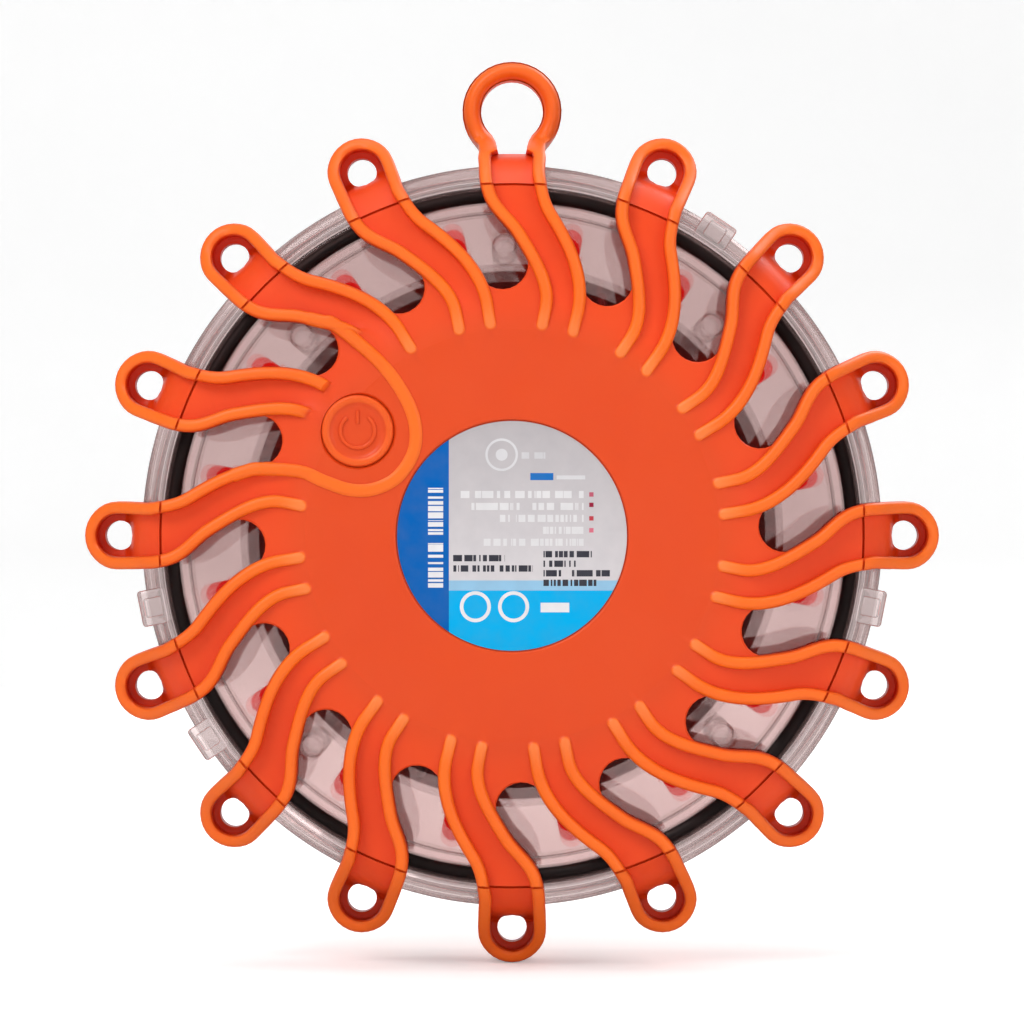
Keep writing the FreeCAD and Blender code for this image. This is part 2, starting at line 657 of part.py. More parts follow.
def make_housing():
    """Clear cup with magnet pocket, screw posts, board stands, pegs and rim lugs."""
    body = new_body("housing")
    floor = CUP_FLOOR
    ledge = "Sizes.post_top + 6 - 2 * Sizes.seal_section"
    lip = "Sizes.skirt_radius + 0.2"
    inside = "Sizes.rim_radius - 2.5"
    corners = CUP_OUTSIDE + (
        ("Sizes.seam_radius + Sizes.seam_gap", ledge),
        (lip, ledge),
        (lip, f"{ledge} - 2"),
        (inside, f"{ledge} - 4"),
        (inside, f"{floor} + Sizes.face_drop + 1.6"),
        ("Sizes.rim_radius - 4.4", f"{floor} + Sizes.face_drop"),
        ("Sizes.disc_flat", floor),
        ("0", floor),
    )
    turn_profile(body, "cup", corners)
    inner_floor = f"{floor} - 0.5"
    magnet_boss = [("0", "0", "Sizes.magnet_radius + 2")]
    raise_circles(body, "magnet_boss", magnet_boss, inner_floor, "Sizes.magnet_height + 1.8")
    spots = (("Sizes.screw_x", "0"), ("-Sizes.screw_x", "0"))
    bases = [(x, y, "Sizes.screw_head + 1.3") for x, y in spots]
    raise_circles(body, "screw_bases", bases, inner_floor, f"{floor} + 2")
    posts = [(x, y, "Sizes.post_radius") for x, y in spots]
    raise_circles(body, "screw_posts", posts, inner_floor, "Sizes.post_top")
    stands = [polar_circle(angle, "Sizes.stand_radius", "Sizes.stand_size") for angle in STAND_ANGLES]
    raise_circles(body, "board_stands", stands, inner_floor, "Sizes.board_low")
    pegs = [polar_circle(angle, "Sizes.peg_circle", "Sizes.peg_radius")
            for angle in (46.5, 91.5, 136.5, 226.5, 316.5)]
    raise_circles(body, "pegs", pegs, f"{inner_floor} + 1.5", "Sizes.board_low + 8.5")
    lugs = []
    for angle in (56.25, 191.25, 213.75, 348.75):
        lugs.append(polar_box(angle, "Sizes.seam_radius + 0.3", "Sizes.rim_radius + 0.9", "Sizes.lug_half"))
    lug_low = f"{LID_TOP} - Sizes.face_drop - 4.4"
    raise_polygons(body, "lugs", lugs, lug_low, f"{LID_TOP} - Sizes.face_drop + 0.5")
    magnet = [("0", "0", "Sizes.magnet_radius")]
    sink(body, "magnet_pocket", magnet, [], CUP_BACK, "Sizes.magnet_height")
    heads = [(x, y, "Sizes.screw_head + 0.2") for x, y in spots]
    sink(body, "head_pockets", heads, [], CUP_BACK, "Sizes.screw_seat + Sizes.washer_thick")
    bores = [(x, y, "Sizes.screw_shank + 0.2") for x, y in spots]
    sink(body, "screw_bores", bores, [], CUP_BACK, "Sizes.post_top")
    pilots = [(x, y, "Sizes.board_screw") for x, y, _ in stands]
    sink(body, "stand_bores", pilots, [], "Sizes.board_low - 6.5", "Sizes.board_low")
    place(body)


make_front_cover()
make_housing()

seal = doc.addObject("Part::Torus", "cover_seal")
seal.Label = "cover_seal"
seal.setExpression("Radius1", "Sizes.seal_radius")
seal.setExpression("Radius2", "Sizes.seal_section")
seal_level = size("post_top") + 6 - size("seal_section")
seal.Placement = STAND.multiply(FreeCAD.Placement(V(0, 0, seal_level), FreeCAD.Rotation()))


# ---- fasteners, magnet, label, button --------------------------------------------------------


def make_cover_screw(name, side, turn):
    """Machine screw with a broad low head and a cross recess, head towards the back."""
    body = new_body(name)
    top = "Sizes.screw_head_top"
    head = "Sizes.screw_head"
    seat = "Sizes.screw_seat"
    shank = "Sizes.screw_shank"
    end = "Sizes.screw_end"
    corners = (
        ("0", top), (f"{head} - 0.6", top), (f"{head} - 0.15", f"{top} + 0.25"),
        (head, f"{top} + 0.7"), (head, seat), (shank, seat), (shank, f"{end} - 0.7"),
        (f"{shank} - 0.5", end), ("0", end),
    )
    turn_profile(body, f"{name}_blank", corners)
    arm, half = "Sizes.cross_reach", "Sizes.cross_half"
    cross = (
        (f"-{arm}", f"-{half}"), (f"-{half}", f"-{half}"), (f"-{half}", f"-{arm}"),
        (half, f"-{arm}"), (half, f"-{half}"), (arm, f"-{half}"), (arm, half), (half, half),
        (half, arm), (f"-{half}", arm), (f"-{half}", half), (f"-{arm}", half),
    )
    sink(body, f"{name}_cross", [], [cross], top, f"{top} + Sizes.cross_depth")
    place(body, side * size("screw_x"), 0, turn)


make_cover_screw("cover_screw_left", -1, 45)
make_cover_screw("cover_screw_right", 1, 20)


def ring_pair(name, outer, inner, low, high):
    """Two equal rings on the screw axes."""
    body = new_body(name)
    spots = (("Sizes.screw_x", "0"), ("-Sizes.screw_x", "0"))
    circles = [(x, y, outer) for x, y in spots] + [(x, y, inner) for x, y in spots]
    raise_circles(body, f"{name}_rings", circles, low, high)
    place(body)


washer_top = "Sizes.screw_seat + Sizes.washer_thick"
insert_top = "Sizes.post_top + Sizes.insert_length"
ring_pair("screw_seals", "Sizes.washer_radius", "Sizes.screw_shank + 0.1", "Sizes.screw_seat", washer_top)
ring_pair("screw_inserts", "Sizes.insert_radius", "Sizes.insert_bore", "Sizes.post_top", insert_top)

magnet = new_body("magnet")
bevel = 0.5
turn_profile(magnet, "magnet_blank", (
    ("0", "0"), (f"Sizes.magnet_radius - {bevel}", "0"), ("Sizes.magnet_radius", f"{bevel}"),
    ("Sizes.magnet_radius", "Sizes.magnet_height"), ("0", "Sizes.magnet_height"),
))
place(magnet)

label = new_body("label_disc")
label_low = f"{GRIP_FRONT} - Sizes.label_pocket"
raise_circles(label, "label_sheet", [("0", "0", "Sizes.label_radius")], label_low,
              f"{label_low} + Sizes.label_thick")
place(label)

flange_low = f"{LID_TOP} - 0.5"
cap_top = f"{GRIP_FRONT} - 0.1"
button = new_body("power_button")
turn_profile(button, "cap", (
    ("1", flange_low), ("Sizes.button_flange", flange_low), ("Sizes.button_flange", LID_TOP),
    ("Sizes.button_radius", LID_TOP), ("Sizes.button_radius", f"{cap_top} + 0.1"),
    ("Sizes.button_radius - 0.3", f"{cap_top} + 0.45"),
    ("Sizes.button_radius - 0.8", f"{cap_top} + 0.45"), ("3.1", cap_top), ("0", cap_top),
    ("0", f"{LID_TOP} + 0.7"), ("1", f"{LID_TOP} + 0.7"),
))
# Power symbol: a ring with a gap at the top and a short bar in the gap.
symbol_low = f"{cap_top} - 0.2"
symbol_high = f"{cap_top} + 0.25"
symbol_arc = 290
turn_profile(button, "symbol_ring", (
    ("1.9", symbol_low), ("2.35", symbol_low), ("2.35", symbol_high), ("1.9", symbol_high),
), angle=symbol_arc)
bar_angle = symbol_arc + (360 - symbol_arc) / 2
raise_polygons(button, "symbol_bar", [polar_box(bar_angle, "0.9", "2.6", "0.22")],
               symbol_low, symbol_high)
place(button, button_x, button_y, 90 - bar_angle)

plunger = new_body("button_plunger")
turn_profile(plunger, "pin", (
    ("0", "Sizes.stem_top"), ("Sizes.plunger_radius - 0.3", "Sizes.stem_top"),
    ("Sizes.plunger_radius", "Sizes.stem_top + 0.3"), ("Sizes.plunger_radius", flange_low),
    ("1", flange_low), ("1", f"{LID_TOP} + 0.7"), ("0", f"{LID_TOP} + 0.7"),
))
place(plunger, button_x, button_y)


# ---- circuit board and the parts on it -------------------------------------------------------

half_pitch = PITCH / 2
led_angles = [half_pitch + PITCH * i for i in range(int(size("arm_count")))]

board = new_body("main_board")
raise_circles(board, "blank", [("0", "0", "Sizes.board_radius")], "Sizes.board_low", BOARD_TOP)
post_room = "Sizes.post_radius + 0.25"
openings = [("Sizes.screw_x", "0", post_room), ("-Sizes.screw_x", "0", post_room)]
openings += [polar_circle(angle, "Sizes.stand_radius", "1.2") for angle in STAND_ANGLES]
sink(board, "screw_openings", openings, [], "Sizes.board_low", BOARD_TOP)
legs = [polar_circle(half_pitch, "Sizes.lead_circle", "0.42", across)
        for across in ("Sizes.lead_half_gap", "-Sizes.lead_half_gap")]
leg_holes, leg_sketch = sink(board, "leg_holes", legs, [], "Sizes.board_low", BOARD_TOP)
repeat_round(board, "leg_hole_ring", [leg_holes], leg_sketch, "Sizes.arm_count")
place(board)

lenses = new_body("led_lenses")
dome = "Sizes.led_tip - Sizes.led_radius"
lens_profile = [
    ("Sizes.led_base", "0"), ("Sizes.led_base", "Sizes.led_radius + 0.4"),
    ("Sizes.led_base + 1", "Sizes.led_radius + 0.4"), ("Sizes.led_base + 1", "Sizes.led_radius"),
]
for angle in (0, 30, 60):
    lens_profile.append((f"{dome} + Sizes.led_radius * sin({angle} deg)",
                         f"Sizes.led_radius * cos({angle} deg)"))
lens_profile.append(("Sizes.led_tip", "0"))
lens, lens_sketch = turn_profile(lenses, "lens", lens_profile, "XY_Plane", "H_Axis", "Sizes.mid_plane")
repeat_round(lenses, "lens_ring", [lens], lens_sketch, "Sizes.arm_count")
place(lenses, turn=half_pitch)

leads = new_body("led_leads")
wire = "Sizes.lead_size / 2"
bend = (
    (f"Sizes.lead_circle - {wire}", "Sizes.board_low - 0.7"),
    (f"Sizes.lead_circle + {wire}", "Sizes.board_low - 0.7"),
    (f"Sizes.lead_circle + {wire}", f"Sizes.mid_plane - {wire}"),
    ("Sizes.led_base", f"Sizes.mid_plane - {wire}"),
    ("Sizes.led_base", f"Sizes.mid_plane + {wire}"),
    (f"Sizes.lead_circle - {wire}", f"Sizes.mid_plane + {wire}"),
)
pads = []
for number, side in enumerate(("Sizes.lead_half_gap", "-Sizes.lead_half_gap")):
    sketch = new_sketch(leads, f"lead_outline_{number}", "XZ_Plane", side)
    add_polygon(sketch, bend)
    pad = leads.newObject("PartDesign::Pad", f"lead_{number}")
    pad.Profile = sketch
    pad.Midplane = True
    pad.setExpression("Length", "Sizes.lead_size")
    pads.append(pad)
    doc.recompute()
ring_sketch = new_sketch(leads, "lead_ring_axis", "XY_Plane")
repeat_round(leads, "lead_ring", pads, ring_sketch, "Sizes.arm_count")
place(leads, turn=half_pitch)

switch = new_body("switch_body")
half_switch = "Sizes.switch_size / 2"
raise_polygons(switch, "case", [box_corners("0", "0", half_switch, half_switch)],
               BOARD_TOP, f"{BOARD_TOP} + Sizes.switch_height")
sink(switch, "stem_well", [("0", "0", "1.25")], [], f"{BOARD_TOP} + Sizes.switch_height - 1.4",
     f"{BOARD_TOP} + Sizes.switch_height")
place(switch, button_x, button_y)

stem = new_body("switch_stem")
stem_low = f"{BOARD_TOP} + Sizes.switch_height - 0.8"
raise_circles(stem, "stem", [("0", "0", "1.2")], stem_low, "Sizes.stem_top")
place(stem, button_x, button_y)

chip = new_body("controller_chip")
raise_polygons(chip, "case", [box_corners("0", "0", "2", "2.5")],
               f"{BOARD_TOP} + 0.2", f"{BOARD_TOP} + 1.7")
feet = []
for side in (-1, 1):
    for step in (-1.5, -0.5, 0.5, 1.5):
        feet.append(box_corners(str(side * 2.4), str(step * 1.27), "0.6", "0.2"))
raise_polygons(chip, "feet", feet, BOARD_TOP, f"{BOARD_TOP} + 0.5")
place(chip, 27.2, 6.6)

resistors = new_body("smd_resistors")
resistor = [polar_box(half_pitch, "31.5", "32.7", "1")]
one, one_sketch = raise_polygons(resistors, "resistor", resistor, BOARD_TOP, f"{BOARD_TOP} + 0.55")
repeat_round(resistors, "resistor_ring", [one], one_sketch, "Sizes.arm_count")
place(resistors)

transistors = new_body("driver_transistors")
cases = [box_corners("-27", y, "1.45", "0.65") for y in ("-5.5", "-9.5")]
raise_polygons(transistors, "cases", cases, f"{BOARD_TOP} + 0.1", f"{BOARD_TOP} + 1.1")
pins = []
for y in (-5.5, -9.5):
    pins.append(box_corners("-27", str(y + 0.9), "0.2", "0.35"))
    pins.append(box_corners("-27.95", str(y - 0.9), "0.2", "0.35"))
    pins.append(box_corners("-26.05", str(y - 0.9), "0.2", "0.35"))
raise_polygons(transistors, "pins", pins, BOARD_TOP, f"{BOARD_TOP} + 0.4")
place(transistors)

capacitor = new_body("capacitor")
turn_profile(capacitor, "can", (
    ("0", BOARD_TOP), ("2.5", BOARD_TOP), ("2.5", f"{BOARD_TOP} + 0.8"),
    ("2.3", f"{BOARD_TOP} + 1.1"), ("2.5", f"{BOARD_TOP} + 1.4"), ("2.5", f"{BOARD_TOP} + 5"),
    ("2.2", f"{BOARD_TOP} + 5.4"), ("0", f"{BOARD_TOP} + 5.4"),
))
place(capacitor, 26.3, -8.3)

board_screws = new_body("board_screws")
heads = [polar_circle(angle, "Sizes.stand_radius", "Sizes.board_screw_head") for angle in STAND_ANGLES]
raise_circles(board_screws, "heads", heads, BOARD_TOP, f"{BOARD_TOP} + 1.2")
shanks = [polar_circle(angle, "Sizes.stand_radius", "Sizes.board_screw") for angle in STAND_ANGLES]
raise_circles(board_screws, "shanks", shanks, "Sizes.board_low - 6", f"{BOARD_TOP} + 0.2")
slots = [polar_box(angle, "Sizes.stand_radius - 1.3", "Sizes.stand_radius + 1.3", "0.25")
         for angle in STAND_ANGLES]
sink(board_screws, "slots", [], slots, f"{BOARD_TOP} + 0.7", f"{BOARD_TOP} + 1.2")
place(board_screws)


# ---- batteries and their holder --------------------------------------------------------------

# The cells lie side by side; +1 means that the positive end points to the hook.
CELLS = ((-1, 1), (0, -1), (1, 1))
pitch = size("cell_pitch")
half_cell = size("cell_length") / 2

holder = new_body("battery_holder")
half_x, half_y = "Sizes.holder_half_x", "Sizes.holder_half_y"
raise_polygons(holder, "block", [box_corners("0", "0", half_x, half_y)],
               BOARD_TOP, "Sizes.cell_axis + 2.5")
tray = new_sketch(holder, "tray_outline", "XZ_Plane")
for column, _ in CELLS:
    add_circle(tray, f"{column} * Sizes.cell_pitch", "Sizes.cell_axis", "Sizes.cell_radius + 0.1")
# Three round channels, joined by an open top that leaves low cusps between the cells.
channels = holder.newObject("PartDesign::Pocket", "channels")
channels.Profile = tray
channels.Midplane = True
channels.setExpression("Length", f"2 * ({half_y} - Sizes.holder_wall)")
doc.recompute()
open_half_x = f"{half_x} - 0.6"
open_half_y = f"{half_y} - Sizes.holder_wall"
sink(holder, "open_top", [], [box_corners("0", "0", open_half_x, open_half_y)],
     "Sizes.cell_axis - 2", "Sizes.cell_axis + 2.5")
# One slot at each end takes the contact plates.
slot_half_x = "Sizes.cell_pitch + Sizes.plate_half + 0.1"
slot_half_y = "Sizes.plate_thick / 2 + 0.025"
slot_y = f"({open_half_y} - ({slot_half_y}))"
slots = [box_corners("0", f"{side}{slot_y}", slot_half_x, slot_half_y) for side in ("", "-")]
sink(holder, "plate_slots", [], slots, "Sizes.cell_axis - Sizes.plate_drop - 0.05", "Sizes.cell_axis + 2.5")
place(holder)


def cell_solid(column, sense):
    """One cell along y with its nub at the positive end."""
    radius = size("cell_radius")
    nub = size("nub_length")
    nub_radius = size("nub_radius")
    profile = (
        (0, -half_cell), (radius - 0.4, -half_cell), (radius, -half_cell + 0.4),
        (radius, half_cell - nub - 0.4), (radius - 0.4, half_cell - nub), (nub_radius, half_cell - nub),
        (nub_radius, half_cell - 0.2), (nub_radius - 0.2, half_cell), (0, half_cell),
    )
    solid = turned(profile)
    solid.rotate(V(0, 0, 0), V(1, 0, 0), -90 * sense)
    solid.translate(V(column * pitch, 0, size("cell_axis")))
    return solid


keep_shape("battery_cells", Part.makeCompound([cell_solid(*cell) for cell in CELLS]))

end_face = size("holder_half_y") - size("holder_wall")
plate_face = end_face - size("plate_thick")
contact_gap = plate_face - half_cell


def contact_plate(first, last, end):
    """Flat plate across one or two cells at one end of the holder."""
    half = size("plate_half")
    low = size("cell_axis") - size("plate_drop")
    width = (last - first) * pitch + 2 * half
    depth = size("plate_thick")
    height = size("plate_drop") + size("plate_rise")
    y = plate_face if end > 0 else -end_face
    return Part.makeBox(width, depth, height, V(first * pitch - half, y, low))


def contact_dome(column, end):
    """Dished bump of a plate that reaches the positive nub."""
    axis = V(0, end, 0)
    centre = V(column * pitch, end * half_cell, size("cell_axis"))
    return Part.makeCone(1.4, 2.6, contact_gap + 0.1, centre, axis)


plates = [
    contact_plate(-1, 0, 1).fuse(contact_dome(-1, 1)),
    contact_plate(1, 1, 1).fuse(contact_dome(1, 1)),
    contact_plate(-1, -1, -1),
    contact_plate(0, 1, -1).fuse(contact_dome(0, -1)),
]
keep_shape("contact_plates", Part.makeCompound(plates))


def contact_spring(column, end):
    """Conical contact spring, pressed flat: three touching coils that grow towards the plate."""
    wire_radius = size("spring_wire")
    coils = []
    for i in range(3):
        level = half_cell + wire_radius + 0.01 + 0.6 * i
        centre = V(column * pitch, end * level, size("cell_axis"))
        coils.append(Part.makeTorus(size("spring_small") + 0.3 * i, wire_radius, centre, V(0, end, 0)))
    return coils[0].multiFuse(coils[1:])


springs = [contact_spring(column, -sense) for column, sense in CELLS]
keep_shape("contact_springs", Part.makeCompound(springs))


def battery_wire(name, sense):
    """Insulated wire from an end of the holder, out, round a bend and down to the board."""
    radius = size("cord_radius")
    bend_radius = size("cord_bend")
    x = sense * size("cord_x")
    start = sense * (size("holder_half_y") + 0.02)
    reach = size("cord_reach")
    corner = start + sense * reach
    level = value("Sizes.cell_axis - 1.5")
    low = value(BOARD_TOP) + 0.02
    outwards = V(0, sense, 0)
    turn = V(x, corner, level - bend_radius)
    ring = Part.Face(Part.Wire(Part.makeCircle(radius, V(x, corner, level), outwards)))
    bend = ring.revolve(turn, V(-sense, 0, 0), 90)
    out = Part.makeCylinder(radius, reach, V(x, start, level), outwards)
    down = Part.makeCylinder(radius, turn.z - low, V(x, corner + sense * bend_radius, low))
    keep_shape(name, bend.multiFuse([out, down]).removeSplitter())


battery_wire("battery_wire_red", 1)
battery_wire("battery_wire_black", -1)


# ---- checks and files ------------------------------------------------------------------------

PIECES = (
    "front_grip", "rear_grip", "power_button", "button_plunger", "front_cover", "housing",
    "cover_seal", "screw_seals", "cover_screw_left", "cover_screw_right", "screw_inserts",
    "magnet", "label_disc", "main_board", "led_lenses", "led_leads", "switch_body",
    "switch_stem", "controller_chip", "smd_resistors", "driver_transistors", "capacitor",
    "board_screws", "battery_holder", "battery_cells", "contact_plates", "contact_springs",
    "battery_wire_red", "battery_wire_black",
)

doc.recompute()
for item in doc.Objects:
    if "Invalid" in item.State or "Error" in item.State:
        raise RuntimeError(f"{item.Name} did not build: {item.State}")
os.makedirs("parts", exist_ok=True)
for name in PIECES:
    shape = doc.getObject(name).Shape
    if shape.isNull() or not shape.isValid():
        raise RuntimeError(f"{name} has no valid shape")
    shape.exportStep(f"parts/{name}.step")
    print(f"{name}: {len(shape.Solids)} solids, {shape.Volume:.1f} mm3")
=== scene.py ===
import math

import bpy
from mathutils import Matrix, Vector

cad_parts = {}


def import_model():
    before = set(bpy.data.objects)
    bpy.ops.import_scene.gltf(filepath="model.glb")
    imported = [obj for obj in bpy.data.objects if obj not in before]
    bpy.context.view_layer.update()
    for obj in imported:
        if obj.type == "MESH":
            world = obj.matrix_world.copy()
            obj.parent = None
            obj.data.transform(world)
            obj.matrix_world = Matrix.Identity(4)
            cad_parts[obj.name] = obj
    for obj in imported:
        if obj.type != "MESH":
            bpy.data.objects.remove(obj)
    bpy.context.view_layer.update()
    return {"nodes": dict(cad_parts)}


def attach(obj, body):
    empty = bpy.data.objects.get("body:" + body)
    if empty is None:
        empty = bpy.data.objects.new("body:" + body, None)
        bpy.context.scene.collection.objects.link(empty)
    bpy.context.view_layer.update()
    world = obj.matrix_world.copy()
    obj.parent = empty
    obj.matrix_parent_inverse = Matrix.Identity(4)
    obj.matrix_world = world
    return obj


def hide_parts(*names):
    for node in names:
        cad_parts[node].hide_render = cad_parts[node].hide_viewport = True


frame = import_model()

# Sizes in millimetres and degrees, in the lamp's own frame: x right, y towards the hook, z from
# the magnet's face to the front. world() turns a point upright and into metres.

ARMS = 16
PITCH = 360.0 / ARMS
HOOK_ARM = 4           # arms are counted from +x towards the hook
TIE_CIRCLE, TIP_ROUND, TIE_HOLE = 50.6, 4.4, 1.9
HOOK_CENTRE, HOOK_OUT, HOOK_IN = 54.7, 6.4, 4.0
SWIRL_ANGLE, SWIRL_START, SWIRL_END = 12.4, 46.0, 29.1
RIB_START, RIB_WIDTH = 25.9, 1.65
WINDOW_ROOT, WINDOW_SIDE, WINDOW_LEAD = 31.1, 34.6, 1.2
DISC_FLAT, SEAM, SEAM_GAP, CUP_RIM = 26.0, 44.4, 0.15, 47.1
RIM_FRONT = 27.6       # front end of the cup's straight wall
FULL = 35.6            # mirror height: front z = FULL - back z
FACE = 34.8            # front face of the grip
LID_TOP = 33.2
CONE_DROP = 2.6        # fall of the front from the flat disc to the seam
TIP_FLOOR, HOOK_FLOOR = 19.3, 18.4
MAGNET_R = 10.0
BUTTON = (-19.4, 13.2)
BUTTON_R = 4.45
LABEL_R = 14.45
SCREW_X = 21.0
POST_R, POST_MEET = 3.6, 22.6
LED_CIRCLE, LED_LEVEL, LED_R, LED_TIP = 35.2, 17.8, 1.5, 5.0
CELL_PITCH, CELL_AXIS, CELL_R, HALF_CELL = 10.9, 22.5, 5.25, 22.25
HOLDER_END = 24.2
CELLS = ((-1, 1), (0, -1), (1, 1))       # column, direction of the positive end
SIDES = (-1, 1)
WEB_COUNT = 12         # columns of the web between two arms
NEAR = 0.001           # lengths closer than this count as the same


def world(p):
    """Place in metres, z up, of a point in the lamp's own frame."""
    return (p[0] * 0.001, -p[2] * 0.001, p[1] * 0.001)


def own_frame(p):
    """The lamp's own x, y, z of a point in metres."""
    return (p.x * 1000, p.z * 1000, -p.y * 1000)


def clamp(value, low=0.0, high=1.0):
    return min(max(value, low), high)


def smooth(t):
    t = clamp(t)
    return t * t * (3 - 2 * t)


def lerp(a, b, t):
    return a + (b - a) * t


def table(points, x):
    """Piecewise straight curve through (x, y) points."""
    if x <= points[0][0]:
        return points[0][1]
    for (x0, y0), (x1, y1) in zip(points, points[1:]):
        if x <= x1:
            return lerp(y0, y1, (x - x0) / (x1 - x0))
    return points[-1][1]


def polar(radius, degrees):
    angle = math.radians(degrees)
    return (radius * math.cos(angle), radius * math.sin(angle))


def circle(radius, count):
    """Points evenly round a circle."""
    return [polar(radius, 360.0 * i / count) for i in range(count)]


def arc(radius, start, sweep, count):
    """Points along an arc round the origin, both ends included."""
    return [polar(radius, start + sweep * i / count) for i in range(count + 1)]


def turned(spot, degrees):
    """Plan point turned about the origin."""
    c, s = polar(1.0, degrees)
    return (spot[0] * c - spot[1] * s, spot[0] * s + spot[1] * c)


def between(first, second, t):
    """Plan point on the way from one to another."""
    return lerp(first[0], second[0], t), lerp(first[1], second[1], t)


def plan_normal(before, after):
    """Unit normal to the left of the way from one plan point to another."""
    dx, dy = after[0] - before[0], after[1] - before[1]
    size = math.hypot(dx, dy)
    return (-dy / size, dx / size)


def rounded(profile, size, steps=3):
    """Profile with each of its inner corners replaced by a small curve."""
    result = [profile[0]]
    for before, corner, after in zip(profile, profile[1:], profile[2:]):
        corner = Vector(corner)
        ends = []
        for other in (before, after):
            way = Vector(other) - corner
            ends.append(corner + way * min(size / max(way.length, 1e-9), 0.45))
        for i in range(steps + 1):
            t = i / steps
            spot = ends[0] * (1 - t) ** 2 + corner * 2 * t * (1 - t) + ends[1] * t ** 2
            result.append(tuple(spot))
    result.append(profile[-1])
    return result


# ---- Meshes ----


class Faces:
    """Faces as tuples of vertex numbers."""

    def __init__(self):
        self.faces = []

    def face(self, corners):
        """Add a face without repeated corners, if three or more are left."""
        clean = tuple(dict.fromkeys(corners))
        if len(clean) > 2:
            self.faces.append(clean)

    def grid(self, rows, closed=False):
        """Quads between rows of vertex numbers; closed rows join end to start."""
        for row, after in zip(rows, rows[1:]):
            count = len(row)
            for i in range(count if closed else count - 1):
                j = (i + 1) % count
                self.face((row[i], row[j], after[j], after[i]))

    def cap(self, rows):
        """Faces over the first and the last row."""
        self.face(rows[0])
        self.face(rows[-1])

    def shell(self, rows):
        """Closed surface over closed rows."""
        self.grid(rows, closed=True)
        self.cap(rows)


class Builder(Faces):
    """Mesh under construction; vertices at the same place are shared."""

    def __init__(self):
        super().__init__()
        self.points = []
        self.index = {}

    def vert(self, x, y, z):
        key = (round(x, 4), round(y, 4), round(z, 4))
        if key not in self.index:
            self.index[key] = len(self.points)
            self.points.append((x, y, z))
        return self.index[key]

    def level_row(self, spots, z):
        """Vertices over plan points, all at one height."""
        return [self.vert(x, y, z) for x, y in spots]

    def lathe(self, profile, segments, origin, axis=(0, 0, 1)):
        """Surface of revolution of (radius, height) points about any axis, closed at both ends."""
        axis = Vector(axis).normalized()
        side = Vector((1, 0, 0)) if abs(axis.x) < 0.9 else Vector((0, 1, 0))
        side = (side - axis * side.dot(axis)).normalized()
        other = axis.cross(side)
        rows = []
        for radius, height in profile:
            centre = Vector(origin) + axis * height
            rows.append([self.vert(*(centre + side * c + other * s)) for c, s in circle(radius, segments)])
        self.shell(rows)

    def tube(self, path, radius, sides=10, closed=False):
        """Round rod along points in space."""
        rows = []
        count = len(path)
        normal = None
        for i, point in enumerate(path):
            here = Vector(point)
            ahead = Vector(path[(i + 1) % count] if closed or i + 1 < count else path[i])
            behind = Vector(path[i - 1] if closed or i else path[i])
            along = (ahead - behind).normalized()
            if normal is None:
                normal = along.orthogonal().normalized()
            normal = (normal - along * normal.dot(along)).normalized()
            other = along.cross(normal)
            rows.append([self.vert(*(here + normal * c + other * s)) for c, s in circle(radius, sides)])
        if closed:
            self.grid(rows + rows[:1], closed=True)
        else:
            self.shell(rows)

    def box(self, centre, half, turn=0.0):
        """Box turned round z; half holds half its length, width and height."""
        ways = ((-1, -1), (1, -1), (1, 1), (-1, 1))
        corners = [turned((sx * half[0], sy * half[1]), turn) for sx, sy in ways]
        spots = [(centre[0] + x, centre[1] + y) for x, y in corners]
        self.shell([self.level_row(spots, centre[2] + z) for z in (-half[2], half[2])])

    def raw(self, name):
        """Mesh object as it was built."""
        mesh = bpy.data.meshes.new(name)
        mesh.from_pydata([world(p) for p in self.points], [], self.faces)
        return in_scene(name, mesh)

    def plain(self, name):
        """Mesh object with outward normals, selected on its own."""
        item = self.raw(name)
        item.data.validate()
        select(item)
        bpy.ops.object.mode_set(mode="EDIT")
        bpy.ops.mesh.select_all(action="SELECT")
        bpy.ops.mesh.normals_make_consistent(inside=False)
        bpy.ops.object.mode_set(mode="OBJECT")
        return item

    def done(self, name, material, body, node, slot, smooth_angle=35.0):
        """Finished piece that rides on a body and, if a node is named, stands for that CAD node."""
        item = self.plain(name)
        item.data.materials.append(material)
        shade(smooth_angle)
        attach(item, body)
        if node:
            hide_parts(node)
        return item


def in_scene(name, data):
    item = bpy.data.objects.new(name, data)
    bpy.context.scene.collection.objects.link(item)
    return item


def select(item):
    for other in bpy.context.selected_objects:
        other.select_set(False)
    item.select_set(True)
    bpy.context.view_layer.objects.active = item


def shade(angle):
    """Smooth the selected mesh, apart from edges sharper than an angle."""
    bpy.ops.object.shade_smooth_by_angle(angle=math.radians(angle))


def modify(item, kind, **settings):
    """Apply a modifier to the selected mesh."""
    change = item.modifiers.new(kind, kind)
    for key, value in settings.items():
        setattr(change, key, value)
    bpy.ops.object.modifier_apply(modifier=change.name)


def combine(item, builder, operation="DIFFERENCE", bevel=0.0, smooth_angle=38.0):
    """Cut a closed mesh out of a piece, or join it on; a bevel rounds its sharp edges first."""
    tool = builder.plain("tool")
    if bevel:
        modify(tool, "BEVEL", width=bevel * 0.001, segments=2, limit_method="ANGLE",
               angle_limit=math.radians(50.0))
    select(item)
    modify(item, "BOOLEAN", operation=operation, solver="EXACT", object=tool)
    bpy.data.objects.remove(tool)
    shade(smooth_angle)


def lathed(profile, x=0.0, y=0.0, segments=58):
    """Turned mesh on an upright axis."""
    builder = Builder()
    builder.lathe(profile, segments, (x, y, 0.0))
    return builder


def rod(radius, low, high, x=0.0, y=0.0, segments=58):
    """Upright cylinder, for cutting or joining."""
    return lathed(((radius, low), (radius, high)), x, y, segments)


